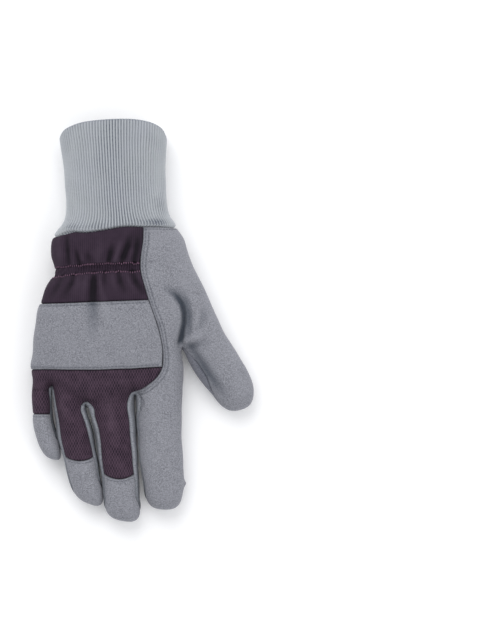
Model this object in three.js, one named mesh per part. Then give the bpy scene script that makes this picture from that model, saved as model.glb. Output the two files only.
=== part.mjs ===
// Synthetic suede work glove, right hand, lying palm down. Millimetres, +Z up.
// The cuff points along +Y, the fingers along -Y and the thumb leans out to +X.
// The hand is a smooth union of padded tubes. Every panel is a grid of rays that leave the hollow:
// the outer face is where a ray meets the glove's skin, the inner face where it meets the skin moved
// in by the panel's wall, so panels that share the rays of a seam never overlap.
import * as THREE from 'three';

// Walls and seams
const SUEDE_WALL = 2.2;
const PLUM_WALL = 1.8;
const KNIT_WALL = 2.6;
const STRAP_RAISE = 1.0;
const SEAM_INSET = 0.22;
const CORE_HEIGHT = 16;

// Cuff
const CUFF_RIBS = 76;
const RIB_DEPTH = 0.9;
const RIM_Y = 142.5;
const RIM_ARCH = 11;

// How softly the tubes run into each other
const FINGER_BLEND = 5;
const THUMB_BLEND = 5;
const FINGER_START = 34;

// Seams across the back: heights up the glove
const CUFF_SEAM = [
  { x: -44, y: 68.0 },
  { x: -39, y: 69.0 },
  { x: -30, y: 72.6 },
  { x: -15, y: 72.2 },
  { x: 0, y: 74.2 },
  { x: 12, y: 76.3 },
  { x: 27, y: 76.2 },
  { x: 56, y: 76.0 },
];
const STRAP_TOP = { left: 19.2, right: 22.2 };
const STRAP_BOTTOM = { left: -28.9, right: -27.4, sag: 1.4 };
const ELASTIC = { top: 48.4, bottom: 42.4 };

// Seam between the forefinger piece and the back, from the cuff down to the forefinger's root
const FOREFINGER_SEAM = [
  { y: 76.2, x: 27.4 },
  { y: 62.0, x: 26.8 },
  { y: 48.8, x: 24.6 },
  { y: 36.3, x: 27.1 },
  { y: 19.2, x: 32.2 },
  { y: 4.4, x: 37.6 },
  { y: -11.8, x: 41.2 },
  { y: -27.4, x: 41.0 },
  { y: -35.5, x: 36.6 },
  { y: -42.2, x: 29.0 },
  { y: -46.0, x: 21.5 },
];

// Body and cuff: edges in plan, height of the back, and the sole before the floor flattens it
const BODY = {
  rows: [
    { s: -162, left: -37.2, right: 46.2, top: 44.5, sole: -1.2 },
    { s: -148, left: -36.2, right: 45.2, top: 44.5, sole: -1.2 },
    { s: -132, left: -33.8, right: 43.8, top: 43.5, sole: -1.2 },
    { s: -110, left: -31.6, right: 43.4, top: 42.0, sole: -1.2 },
    { s: -92, left: -30.6, right: 44.4, top: 40.5, sole: -1.2 },
    { s: -84, left: -31.6, right: 46.6, top: 40.5, sole: -1.2 },
    { s: -76, left: -35.4, right: 51.0, top: 41.5, sole: -1.4 },
    { s: -66, left: -41.0, right: 54.8, top: 42.5, sole: -1.8 },
    { s: -56, left: -41.6, right: 56.0, top: 42.0, sole: -2.0 },
    { s: -45, left: -39.6, right: 55.2, top: 39.5, sole: -2.0 },
    { s: -32, left: -45.2, right: 54.2, top: 41.0, sole: -2.0 },
    { s: -18, left: -50.0, right: 54.0, top: 40.5, sole: -2.0 },
    { s: 0, left: -53.2, right: 54.0, top: 39.0, sole: -2.0 },
    { s: 16, left: -55.0, right: 54.2, top: 37.0, sole: -2.0 },
    { s: 34, left: -56.2, right: 54.6, top: 34.0, sole: -2.0 },
    { s: 60, left: -56.4, right: 54.6, top: 30.5, sole: -2.0 },
  ],
  squareness: 2.5,
  tip: 11,
};

// Crotches between the fingers, where the body ends
const CROTCHES = {
  ring_little: { x: -41.8, y: -44.0 },
  middle_ring: { x: -15.3, y: -53.6 },
  index_middle: { x: 20.6, y: -47.0 },
};
const THUMB_CROTCH = { x: 55.2, y: -11.5 };
const WEB_SETBACK = 2.5;

// Fingers: distance down the glove, centre line and half width in plan, mid height and half height
const FINGERS = {
  little: {
    rows: [
      { s: 38, centre: -48.6, half: 7.6, mid: 12.5, rise: 13.5 },
      { s: 48, centre: -49.4, half: 7.0, mid: 12.0, rise: 13.0 },
      { s: 62, centre: -48.9, half: 6.8, mid: 11.8, rise: 12.8 },
      { s: 73, centre: -47.4, half: 7.0, mid: 11.4, rise: 12.4 },
      { s: 82, centre: -45.5, half: 7.3, mid: 11.0, rise: 12.0 },
      { s: 97, centre: -40.6, half: 6.8, mid: 10.6, rise: 11.2 },
    ],
    squareness: 2.35,
    end: 82,
    tip: 15.2,
    shaft: [56, 62.5],
    cap: [70, 78],
    seamRight: 40,
    seamLeft: -34,
  },
  ring: {
    rows: [
      { s: 40, centre: -29.0, half: 12.5, mid: 13.5, rise: 14.5 },
      { s: 58, centre: -28.3, half: 11.9, mid: 13.0, rise: 14.0 },
      { s: 75, centre: -25.3, half: 12.3, mid: 12.8, rise: 13.8 },
      { s: 90, centre: -22.2, half: 11.6, mid: 12.6, rise: 13.6 },
      { s: 104, centre: -19.3, half: 11.6, mid: 12.2, rise: 13.2 },
      { s: 115, centre: -17.0, half: 10.6, mid: 11.8, rise: 12.8 },
      { s: 130, centre: -13.2, half: 9.6, mid: 11.2, rise: 12.0 },
    ],
    squareness: 2.35,
    end: 115,
    tip: 14.8,
    shaft: [64, 74, 85, 94],
    cap: [103, 111],
    seamRight: 46,
    seamLeft: 38,
  },
  middle: {
    rows: [
      { s: 40, centre: 2.7, half: 16.9, mid: 13.8, rise: 14.8 },
      { s: 58, centre: 2.7, half: 16.8, mid: 13.4, rise: 14.4 },
      { s: 75, centre: 4.8, half: 15.9, mid: 13.2, rise: 14.2 },
      { s: 90, centre: 6.5, half: 15.2, mid: 13.0, rise: 14.0 },
      { s: 107, centre: 8.7, half: 14.1, mid: 12.6, rise: 13.6 },
      { s: 126, centre: 10.2, half: 13.2, mid: 12.0, rise: 13.0 },
      { s: 142, centre: 10.8, half: 12.4, mid: 11.4, rise: 12.2 },
    ],
    squareness: 2.4,
    end: 125,
    tip: 16.2,
    shaft: [64, 74, 85, 96, 107],
    cap: [116],
    seamRight: 46,
    seamLeft: 46,
  },
  index: {
    rows: [
      { s: 30, centre: 38.4, half: 16.2, mid: 14.0, rise: 15.0 },
      { s: 58, centre: 38.4, half: 16.2, mid: 13.6, rise: 14.6 },
      { s: 74, centre: 38.7, half: 16.1, mid: 13.2, rise: 14.2 },
      { s: 90, centre: 40.1, half: 15.4, mid: 13.0, rise: 14.0 },
      { s: 106, centre: 41.2, half: 14.8, mid: 12.6, rise: 13.6 },
      { s: 117, centre: 42.0, half: 14.2, mid: 12.2, rise: 13.2 },
      { s: 134, centre: 42.4, half: 12.8, mid: 11.6, rise: 12.4 },
    ],
    squareness: 2.4,
    end: 116,
    tip: 17,
    shaft: [64, 76, 88, 100],
    cap: [110],
    seamRight: -8,
    seamLeft: 24,
  },
};
for (const finger of Object.values(FINGERS)) {
  finger.plan = 0;
  finger.start = FINGER_START;
}

// Thumb: the same columns along its own line, which leaves the wrist at THUMB_ROOT
const THUMB_ROOT = { x: 48.1, y: 50.3 };
const THUMB_ANGLE = THREE.MathUtils.degToRad(24.2);
const THUMB = {
  rows: [
    { s: -24, centre: -9.0, half: 15.0, mid: 19.0, rise: 17.0 },
    { s: -14, centre: -8.6, half: 21.5, mid: 19.0, rise: 19.5 },
    { s: -5, centre: -8.8, half: 21.6, mid: 18.8, rise: 19.4 },
    { s: 14, centre: -7.6, half: 20.4, mid: 18.0, rise: 18.8 },
    { s: 33, centre: -5.6, half: 18.8, mid: 16.8, rise: 17.6 },
    { s: 53, centre: -3.2, half: 16.4, mid: 15.4, rise: 16.2 },
    { s: 63, centre: -2.8, half: 16.1, mid: 14.8, rise: 15.6 },
    { s: 73, centre: -2.0, half: 16.6, mid: 14.2, rise: 15.2 },
    { s: 84, centre: -0.5, half: 17.0, mid: 13.6, rise: 14.6 },
    { s: 94, centre: 1.3, half: 16.4, mid: 13.0, rise: 14.0 },
    { s: 104, centre: 2.4, half: 14.8, mid: 12.4, rise: 13.4 },
    { s: 122, centre: 2.6, half: 13.4, mid: 11.8, rise: 12.6 },
  ],
  squareness: 2.35,
  start: -18,
  end: 103,
  tip: 18.5,
  plan: THUMB_ANGLE,
  shaft: [74, 81, 88, 95],
  seamOuter: -22,
  seamInner: 48,
};

// Folds in the cloth: straight creases in plan, raised or sunk, fading over their width and ends
const FOLDS = [
  // thumb crease, from the wrist round to the crotch
  { x0: 59, y0: 58, x1: 53, y1: 36, width: 5.0, height: -2.2 },
  { x0: 52, y0: 38, x1: 55, y1: 14, width: 4.4, height: -2.8 },
  { x0: 56, y0: 14, x1: 55, y1: -8, width: 4.0, height: -2.8 },
  // gathers above the elastic
  { x0: -34, y0: 66, x1: -31, y1: 50, width: 2.6, height: -1.5 },
  { x0: -25, y0: 68, x1: -22, y1: 50, width: 2.6, height: 1.6 },
  { x0: -17, y0: 68, x1: -15, y1: 50, width: 2.6, height: -1.7 },
  { x0: -8, y0: 70, x1: -7, y1: 50, width: 2.8, height: 1.8 },
  { x0: 1, y0: 71, x1: 1, y1: 50, width: 2.6, height: -2.2 },
  { x0: 9, y0: 72, x1: 8, y1: 50, width: 2.6, height: 1.8 },
  { x0: 17, y0: 71, x1: 14, y1: 50, width: 2.4, height: -1.7 },
  // gathers below the elastic
  { x0: -32, y0: 41, x1: -36, y1: 24, width: 3.0, height: -1.5 },
  { x0: -22, y0: 41, x1: -25, y1: 24, width: 3.0, height: 1.6 },
  { x0: -12, y0: 41, x1: -14, y1: 24, width: 3.0, height: -1.8 },
  { x0: -2, y0: 41, x1: -3, y1: 24, width: 3.2, height: 1.7 },
  { x0: 8, y0: 41, x1: 9, y1: 24, width: 3.0, height: -1.6 },
  { x0: 17, y0: 41, x1: 20, y1: 25, width: 3.0, height: 1.4 },
];
const ELASTIC_GROOVE = { left: -44, right: 25, depth: 1.8, spread: 4.0 };

// Value of a column of a table at a place, on a smooth curve through the rows
function along(rows, place, key, value) {
  const last = rows.length - 1;
  const sign = Math.sign(rows[last][key] - rows[0][key]);
  if ((place - rows[0][key]) * sign <= 0) {
    return rows[0][value];
  }
  if ((place - rows[last][key]) * sign >= 0) {
    return rows[last][value];
  }
  let i = 0;
  while ((place - rows[i + 1][key]) * sign > 0) {
    i += 1;
  }
  const slope = (a, b) => (rows[b][value] - rows[a][value]) / (rows[b][key] - rows[a][key]);
  const span = rows[i + 1][key] - rows[i][key];
  const t = (place - rows[i][key]) / span;
  const m0 = slope(Math.max(i - 1, 0), i + 1) * span;
  const m1 = slope(i, Math.min(i + 2, last)) * span;
  const a = rows[i][value];
  const b = rows[i + 1][value];
  return a + t * (m0 + t * (3 * (b - a) - 2 * m0 - m1 + t * (2 * (a - b) + m0 + m1)));
}

// Distance to a padded tube's skin, less than zero inside it
function tubeDistance(tube, across, rise, half, halfRise, over) {
  const n = tube.squareness;
  const u = Math.abs(across) / half;
  const v = Math.abs(rise) / halfRise;
  const e = Math.max(0, over) / tube.tip;
  const q = Math.pow(u ** n + v ** n + e ** n, 1 / n);
  if (q < 1e-6) {
    return -Math.min(half, halfRise);
  }
  const grow = Math.hypot(u ** (n - 1) / half, v ** (n - 1) / halfRise, e ** (n - 1) / tube.tip);
  return (q - 1) * q ** (n - 1) / grow;
}

function bodyDistance(x, y, z) {
  const at = (value) => along(BODY.rows, -y, 's', value);
  const left = at('left');
  const right = at('right');
  const top = at('top');
  const sole = at('sole');
  const over = webLine(x) + BODY.tip + WEB_SETBACK - y;
  return tubeDistance(BODY, x - (left + right) / 2, z - (top + sole) / 2, (right - left) / 2,
    (top - sole) / 2, over);
}

function webLine(x) {
  const webs = [
    { x: -60, y: CROTCHES.ring_little.y },
    CROTCHES.ring_little,
    CROTCHES.middle_ring,
    CROTCHES.index_middle,
    { x: 60, y: CROTCHES.index_middle.y },
  ];
  return along(webs, x, 'x', 'y');
}

function thumbPlace(x, y) {
  const dx = x - THUMB_ROOT.x;
  const dy = y - THUMB_ROOT.y;
  return {
    s: dx * Math.sin(THUMB_ANGLE) - dy * Math.cos(THUMB_ANGLE),
    across: dx * Math.cos(THUMB_ANGLE) + dy * Math.sin(THUMB_ANGLE),
  };
}

function fingerDistance(tube, s, across, z) {
  const at = (value) => along(tube.rows, s, 's', value);
  const over = Math.max(s - tube.end, tube.start - s);
  return tubeDistance(tube, across - at('centre'), z - at('mid'), at('half'), at('rise'), over);
}

function blend(a, b, reach) {
  const near = Math.max(reach - Math.abs(a - b), 0);
  return Math.min(a, b) - near * near / (4 * reach);
}

// Height of the folds, and of the groove over the elastic, above the plain skin
function relief(x, y, z) {
  if (z < CORE_HEIGHT) {
    return 0;
  }
  let height = 0;
  for (const fold of FOLDS) {
    const dx = fold.x1 - fold.x0;
    const dy = fold.y1 - fold.y0;
    const length = Math.hypot(dx, dy);
    const t = ((x - fold.x0) * dx + (y - fold.y0) * dy) / length;
    const side = ((x - fold.x0) * dy - (y - fold.y0) * dx) / length;
    const past = Math.max(-t, t - length, 0);
    height += fold.height * Math.exp(-((side / fold.width) ** 2) - (past / fold.width) ** 2);
  }
  if (x < ELASTIC_GROOVE.right && x > ELASTIC_GROOVE.left) {
    const middle = (ELASTIC.top + ELASTIC.bottom) / 2;
    const fade = Math.min(1, (ELASTIC_GROOVE.right - x) / 6);
    height -= ELASTIC_GROOVE.depth * fade * Math.exp(-(((y - middle) / ELASTIC_GROOVE.spread) ** 2));
  }
  const rampUp = Math.min(1, (z - CORE_HEIGHT) / 10);
  return height * rampUp;
}

// The glove's skin: body, fingers and thumb, with the folds
function skin(x, y, z) {
  const thumb = thumbPlace(x, y);
  const hand = blend(bodyDistance(x, y, z), fingerDistance(THUMB, thumb.s, thumb.across, z), THUMB_BLEND);
  let fingers = Infinity;
  for (const finger of Object.values(FINGERS)) {
    fingers = Math.min(fingers, fingerDistance(finger, -y, x, z));
  }
  return blend(hand, fingers, FINGER_BLEND) - relief(x, y, z);
}

// A ray from a point of the hollow; turn is the heading in plan from -Y towards +X, lift the rise
function ray(x, y, z, turn, lift, raise = 0) {
  const heading = THREE.MathUtils.degToRad(turn);
  const climb = THREE.MathUtils.degToRad(lift);
  const direction = new THREE.Vector3(
    Math.cos(climb) * Math.sin(heading),
    -Math.cos(climb) * Math.cos(heading),
    Math.sin(climb),
  );
  return { origin: new THREE.Vector3(x, y, z), direction, raise };
}

function rayBetween(a, b, t) {
  return {
    origin: a.origin.clone().lerp(b.origin, t),
    direction: a.direction.clone().lerp(b.direction, t).normalize(),
    raise: a.raise + (b.raise - a.raise) * t,
  };
}

// Rays from one key ray to the next, with a number of steps to each
function row(first, ...steps) {
  const rays = [first];
  let from = first;
  for (const [count, to] of steps) {
    for (let i = 1; i <= count; i += 1) {
      rays.push(i === count ? to : rayBetween(from, to, i / count));
    }
    from = to;
  }
  return rays;
}

// Where a ray meets the skin moved out by an offset, or the floor moved in by it
function meet(beam, offset) {
  const point = new THREE.Vector3();
  const outside = (reach) => {
    point.copy(beam.origin).addScaledVector(beam.direction, reach);
    return Math.max(skin(point.x, point.y, point.z) - offset, Math.min(offset, 0) * -1 - point.z) > 0;
  };
  let near = 0;
  let far = 0;
  while (!outside(far) && far < 90) {
    near = far;
    far += 1.5;
  }
  for (let i = 0; i < 26; i += 1) {
    const middle = (near + far) / 2;
    if (outside(middle)) {
      far = middle;
    } else {
      near = middle;
    }
  }
  outside((near + far) / 2);
  if (Math.abs(point.z) < 1e-3) {
    point.z = 0;
  }
  return point.clone();
}

// One closed wall from grids of rays: outer face, inner face, and rims along every free edge
function wall(grids, { thickness, raise = 0 }) {
  const outer = [];
  const inner = [];
  const known = new Map();
  const place = (beam) => {
    const point = meet(beam, raise + beam.raise);
    const key = point.toArray().map((value) => Math.round(value * 500)).join();
    if (!known.has(key)) {
      known.set(key, outer.length);
      outer.push(point);
      inner.push(meet(beam, -thickness));
    }
    return known.get(key);
  };
  const faces = [];
  for (const rays of grids) {
    const index = rays.map((line) => line.map(place));
    for (let i = 0; i + 1 < index.length; i += 1) {
      for (let j = 0; j + 1 < index[i].length; j += 1) {
        addQuad(faces, outer, inner, [index[i][j], index[i][j + 1], index[i + 1][j + 1], index[i + 1][j]]);
      }
    }
  }
  const edges = freeEdges(faces);
  insetEdges(edges, faces, outer, inner);
  return closedGeometry(faces, edges, outer, inner);
}

function addQuad(faces, outer, inner, corners) {
  const ring = corners.filter((corner, i) => corner !== corners[(i + 1) % corners.length]);
  if (ring.length < 3) {
    return;
  }
  const pairs = [];
  if (ring.length === 4) {
    const across = outer[ring[0]].distanceTo(outer[ring[2]]) <= outer[ring[1]].distanceTo(outer[ring[3]]);
    const [a, b, c, d] = ring;
    pairs.push(...(across ? [[a, b, c], [a, c, d]] : [[a, b, d], [b, c, d]]));
  } else {
    pairs.push(ring);
  }
  for (const [a, b, c] of pairs) {
    const normal = faceNormal(outer, [a, b, c]);
    const out = outer[a].clone().add(outer[b]).add(outer[c]);
    out.sub(inner[a]).sub(inner[b]).sub(inner[c]);
    faces.push(normal.dot(out) > 0 ? [a, b, c] : [a, c, b]);
  }
}

function faceNormal(points, [a, b, c]) {
  const side = points[b].clone().sub(points[a]);
  return side.cross(points[c].clone().sub(points[a])).normalize();
}

// Edges that only one face has, each with that face
function freeEdges(faces) {
  const open = new Map();
  faces.forEach((face, f) => {
    face.forEach((from, i) => {
      const to = face[(i + 1) % 3];
      if (!open.delete(`${to},${from}`)) {
        open.set(`${from},${to}`, { from, to, f });
      }
    });
  });
  return [...open.values()];
}

// Moves the rims in by the seam's half gap, square to them and along the wall
function insetEdges(edges, faces, outer, inner) {
  const inward = new Map();
  for (const { from, to, f } of edges) {
    const side = outer[to].clone().sub(outer[from]).normalize();
    const square = faceNormal(outer, faces[f]).cross(side);
    for (const corner of [from, to]) {
      inward.set(corner, [...(inward.get(corner) ?? []), square]);
    }
  }
  for (const [corner, squares] of inward) {
    const sum = squares.reduce((total, square) => total.add(square), new THREE.Vector3());
    const move = sum.normalize();
    const reach = Math.max(0.3, move.dot(squares[squares.length - 1]));
    move.multiplyScalar(SEAM_INSET / reach);
    for (const points of [outer, inner]) {
      points[corner].add(move);
      points[corner].z = Math.max(points[corner].z, 0);
    }
  }
}

function closedGeometry(faces, edges, outer, inner) {
  const shift = outer.length;
  const indices = [];
  for (const [a, b, c] of faces) {
    indices.push(a, b, c, a + shift, c + shift, b + shift);
  }
  for (const { from, to } of edges) {
    if (outer[from].distanceTo(inner[to]) < outer[to].distanceTo(inner[from])) {
      indices.push(to, from, to + shift, from, from + shift, to + shift);
    } else {
      indices.push(to, from, from + shift, to, from + shift, to + shift);
    }
  }
  const geometry = new THREE.BufferGeometry();
  const positions = [...outer, ...inner].flatMap((point) => point.toArray());
  geometry.setAttribute('position', new THREE.Float32BufferAttribute(positions, 3));
  geometry.setIndex(indices);
  geometry.computeVertexNormals();
  return geometry;
}

// Rays straight up and down from the body's core, and round its two edges
const EDGE_CORE = 17;
const up = (x, y) => ray(x, y, CORE_HEIGHT, 0, 90);
const down = (x, y) => ray(x, y, CORE_HEIGHT, 0, -90);
const edgeX = (y, side) => along(BODY.rows, -y, 's', side);
const leftCore = (y) => edgeX(y, 'left') + EDGE_CORE;
const leftSeam = (y) => ray(leftCore(y), y, CORE_HEIGHT, -90, -38);
const leftEdge = (y) => ray(leftCore(y), y, CORE_HEIGHT, -90, 20);

const cuffSeamY = (x) => along(CUFF_SEAM, x, 'x', 'y');
const foreSeamX = (y) => along(FOREFINGER_SEAM, y, 'y', 'x');

// A place across the back, from the left edge (0) to the forefinger seam (1), as the height there
function strapTopY(x) {
  return THREE.MathUtils.mapLinear(x, -51, 33, STRAP_TOP.left, STRAP_TOP.right);
}

function strapBottomY(x) {
  const t = THREE.MathUtils.mapLinear(x, -57, 41, 0, 1);
  const straight = THREE.MathUtils.lerp(STRAP_BOTTOM.left, STRAP_BOTTOM.right, t);
  return straight - STRAP_BOTTOM.sag * Math.sin(Math.PI * THREE.MathUtils.clamp(t, 0, 1));
}

// Finds the height at which a line across the back meets the forefinger seam
function seamCrossing(lineY) {
  let y = lineY(30);
  for (let i = 0; i < 12; i += 1) {
    y = lineY(foreSeamX(y));
  }
  return y;
}

// A row across the back at the heights of a line, round the left edge first
function backRow(lineY, edgeSteps, steps) {
  const rightY = seamCrossing(lineY);
  const rightX = foreSeamX(rightY);
  const startX = leftCore(lineY(-48));
  const top = up(startX, lineY(startX));
  const rays = row(leftSeam(lineY(-48)), [edgeSteps, leftEdge(lineY(-40))], [edgeSteps, top]);
  for (let i = 1; i <= steps; i += 1) {
    const x = THREE.MathUtils.lerp(startX, rightX, i / steps);
    rays.push(i === steps ? up(rightX, rightY) : up(x, lineY(x)));
  }
  return rays;
}

const EDGE_STEPS = 3;
const WRIST_STEPS = 24;
const STRAP_STEPS = 12;

function between(lineA, lineB, t) {
  return (x) => THREE.MathUtils.lerp(lineA(x), lineB(x), t);
}

function wristPanel() {
  const elasticTop = () => ELASTIC.top;
  const elasticBottom = () => ELASTIC.bottom;
  const lines = [
    cuffSeamY,
    between(cuffSeamY, elasticTop, 0.25),
    between(cuffSeamY, elasticTop, 0.55),
    between(cuffSeamY, elasticTop, 0.8),
    elasticTop,
    elasticBottom,
    between(elasticBottom, strapTopY, 0.25),
    between(elasticBottom, strapTopY, 0.6),
    strapTopY,
  ];
  return wall([lines.map((line) => backRow(line, EDGE_STEPS, WRIST_STEPS))], { thickness: PLUM_WALL });
}

function knuckleStrap() {
  const shares = [0, 0.25, 0.5, 0.75, 1];
  const grid = shares.map((t) => backRow(between(strapTopY, strapBottomY, t), EDGE_STEPS, STRAP_STEPS));
  return wall([grid], { thickness: SUEDE_WALL, raise: STRAP_RAISE });
}

// Rays from a finger's axis; side is -1 for its left and 1 for its right
function fingerPoint(tube, s) {
  const across = along(tube.rows, s, 's', 'centre');
  const mid = along(tube.rows, s, 's', 'mid');
  if (tube.plan === 0) {
    return { x: across, y: -s, z: mid };
  }
  const cos = Math.cos(tube.plan);
  const sin = Math.sin(tube.plan);
  return {
    x: THUMB_ROOT.x + s * sin + across * cos,
    y: THUMB_ROOT.y - s * cos + across * sin,
    z: mid,
  };
}

function fingerRay(tube, s, side, lift) {
  const { x, y, z } = fingerPoint(tube, s);
  return ray(x, y, z, side * 90 + THREE.MathUtils.radToDeg(tube.plan), lift);
}

// The rows of a finger's tip: the back's middle leans forward as the sides close in on the seam
const TIP_ROWS = [
  { forward: 0, close: 0 },
  { forward: 0.34, close: 0.5 },
  { forward: 0.68, close: 1 },
  { forward: 1, close: 1 },
];

// Heading of a fingertip: the tube's own line and the way its centre bends over the tip
function tipHeading(tube) {
  const centre = (s) => along(tube.rows, s, 's', 'centre');
  const bend = centre(tube.end + tube.tip) - centre(tube.end);
  return THREE.MathUtils.radToDeg(tube.plan + Math.atan2(bend, tube.tip));
}

// How far a tip's side rays turn towards the tip, in degrees
const TIP_TURN = 48;

function tipRay(tube, step, side, lift) {
  const { forward, close } = TIP_ROWS[step];
  const { x, y, z } = fingerPoint(tube, tube.end);
  const plan = tipHeading(tube);
  if (side === 0) {
    return ray(x, y, z, plan, Math.sign(lift) * 90 * (1 - forward));
  }
  return ray(x, y, z, plan + side * (90 - TIP_TURN * forward), lift * (1 - close));
}

// All rows of a finger from its root to the tip: left seam, middle and right seam on one face
function fingerRows(tube, face, leftLift, rightLift, places) {
  const rows = places.map((s) => [
    fingerRay(tube, s, -1, leftLift),
    fingerRay(tube, s, 1, face * 90),
    fingerRay(tube, s, 1, rightLift),
  ]);
  for (let step = 0; step < TIP_ROWS.length; step += 1) {
    rows.push([
      tipRay(tube, step, -1, leftLift),
      tipRay(tube, step, 0, face),
      tipRay(tube, step, 1, rightLift),
    ]);
  }
  return rows;
}

// Lift of the seam along the palm side of each finger, and of the seams that leave a crotch
const PALM_SEAM = -42;
const WEB_LIFTS = { back: 52, palm: -48 };

// Where the rays of a crotch start: above its middle, and beside and below it for its two walls
const WEB_HEIGHT = 13.5;
const WEB_CORE = 5.5;
const WALL_CORE = 7;
const WALL_DROP = 5;
const WALL_TURN = 72;

// Rays of a crotch between two fingers: side 0 is its middle, -1 and 1 the walls that face left and right
function webRay(crotch, side, lift) {
  if (side === 0) {
    return ray(crotch.x, crotch.y + WEB_CORE, WEB_HEIGHT, 0, lift);
  }
  return ray(crotch.x - side * WALL_CORE, crotch.y - WALL_DROP, WEB_HEIGHT, side * WALL_TURN, lift);
}

function fill(keys, leftSteps, rightSteps) {
  const [left, middle, right] = keys;
  return row(left, [leftSteps, middle], [rightSteps, right]);
}

// The first two rows of a finger's back or palm, from one crotch to the next
const ROOT_ROWS = [
  { side: 0, down: 1 },
  { side: 1, down: 6 },
];

function rootRows(tube, leftCrotch, rightCrotch, face, leftSteps, rightSteps) {
  const lift = face > 0 ? WEB_LIFTS.back : WEB_LIFTS.palm;
  const rows = [];
  for (const { side, down } of ROOT_ROWS) {
    const left = webRay(leftCrotch, -side, lift);
    const right = webRay(rightCrotch, side, lift);
    const s = down - (leftCrotch.y + rightCrotch.y) / 2;
    rows.push(row(left, [leftSteps, fingerRay(tube, s, 1, face * 90)], [rightSteps, right]));
  }
  return rows;
}

// Middle and ring backs start at the crotches, the little finger's at the outer side seam
const BACK_STEPS = { ring: 3, middle: 4 };
const LITTLE_INNER_STEPS = 2;
const EDGE_LIFT = 20;
const LITTLE_WALL_DROP = 6;
const LITTLE_TIP_TURN = 62;

function littleRow(y, lift) {
  const centre = fingerPoint(FINGERS.little, -y);
  const top = ray(centre.x, centre.y, centre.z, 90, 90);
  const edge = ray(centre.x, centre.y, centre.z, -90, EDGE_LIFT);
  const seam = ray(centre.x, centre.y, centre.z, -90, FINGERS.little.seamLeft);
  return row(seam, [EDGE_STEPS, edge], [EDGE_STEPS, top], [LITTLE_INNER_STEPS, lift]);
}

function littleTipRow(step) {
  const tube = FINGERS.little;
  const { forward } = TIP_ROWS[step];
  const { x, y, z } = fingerPoint(tube, tube.end);
  const heading = tipHeading(tube);
  const seam = tipRay(tube, step, -1, tube.seamLeft);
  const edge = ray(x, y, z, heading - (90 - LITTLE_TIP_TURN * forward), EDGE_LIFT * (1 - forward));
  const top = tipRay(tube, step, 0, 1);
  const right = tipRay(tube, step, 1, tube.seamRight);
  return row(seam, [EDGE_STEPS, edge], [EDGE_STEPS, top], [LITTLE_INNER_STEPS, right]);
}

// The row of the back that passes through the three crotches
function crotchRow() {
  const { ring_little: outer, middle_ring: centre, index_middle: inner } = CROTCHES;
  const little = littleRow(outer.y, webRay(outer, 0, WEB_LIFTS.back));
  const ring = rootRows(FINGERS.ring, outer, centre, 1, BACK_STEPS.ring, BACK_STEPS.ring)[0];
  const middle = rootRows(FINGERS.middle, centre, inner, 1, BACK_STEPS.middle, BACK_STEPS.middle)[0];
  return [...little, ...ring.slice(1), ...middle.slice(1)];
}

// Heights on the forefinger seam of the back's rows between the strap and the crotches
const BACK_SEAM_Y = [-35.5, -42.2];

function backPanel() {
  const last = crotchRow();
  const first = backRow(strapBottomY, EDGE_STEPS, last.length - 1 - 2 * EDGE_STEPS);
  const body = [first];
  BACK_SEAM_Y.forEach((y, k) => {
    const line = first.map((beam, j) => rayBetween(beam, last[j], (k + 1) / (BACK_SEAM_Y.length + 1)));
    line[line.length - 1] = up(foreSeamX(y), y);
    body.push(line);
  });
  body.push(last);
  const grids = [body];
  const web = CROTCHES.ring_little;
  const little = [littleRow(web.y, webRay(web, 0, WEB_LIFTS.back))];
  little.push(littleRow(web.y - LITTLE_WALL_DROP, webRay(web, 1, WEB_LIFTS.back)));
  for (const s of FINGERS.little.shaft) {
    little.push(littleRow(-s, fingerRay(FINGERS.little, s, 1, FINGERS.little.seamRight)));
  }
  grids.push(little);
  grids.push(columnGrid('ring', 1, FINGERS.ring.shaft));
  grids.push(columnGrid('middle', 1, FINGERS.middle.shaft));
  return wall(grids, { thickness: PLUM_WALL });
}

const NEIGHBOURS = {
  ring: ['ring_little', 'middle_ring'],
  middle: ['middle_ring', 'index_middle'],
};

// A ring or middle finger's back or palm from its root along the given places
function columnGrid(name, face, places) {
  const tube = FINGERS[name];
  const steps = BACK_STEPS[name];
  const [leftWeb, rightWeb] = NEIGHBOURS[name].map((crotch) => CROTCHES[crotch]);
  const lifts = face > 0 ? [tube.seamLeft, tube.seamRight] : [PALM_SEAM, PALM_SEAM];
  const grid = rootRows(tube, leftWeb, rightWeb, face, steps, steps);
  for (const s of places) {
    const left = fingerRay(tube, s, -1, lifts[0]);
    const right = fingerRay(tube, s, 1, lifts[1]);
    grid.push(fill([left, fingerRay(tube, s, 1, face * 90), right], steps, steps));
  }
  return grid;
}

function tipGrid(name, face, places) {
  const tube = FINGERS[name];
  const steps = BACK_STEPS[name];
  const lifts = face > 0 ? [tube.seamLeft, tube.seamRight] : [PALM_SEAM, PALM_SEAM];
  return fingerRows(tube, face, lifts[0], lifts[1], places).map((keys) => fill(keys, steps, steps));
}

function fingertipCap(name) {
  const tube = FINGERS[name];
  const places = [tube.shaft[tube.shaft.length - 1], ...tube.cap];
  if (name === 'little') {
    const grid = places.map((s) => littleRow(-s, fingerRay(tube, s, 1, tube.seamRight)));
    for (let step = 0; step < TIP_ROWS.length; step += 1) {
      grid.push(littleTipRow(step));
    }
    return wall([grid], { thickness: SUEDE_WALL });
  }
  return wall([tipGrid(name, 1, places)], { thickness: SUEDE_WALL });
}

function fingerPalm(name) {
  const tube = FINGERS[name];
  const root = columnGrid(name, -1, []);
  return wall([[...root, ...tipGrid(name, -1, [...tube.shaft, ...tube.cap])]], { thickness: SUEDE_WALL });
}

// A strip from one fingertip up its side, round the crotch and down the next finger's side
const STRIP_STEPS = 3;
const STRIP_TIP_ROWS = 3;

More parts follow.
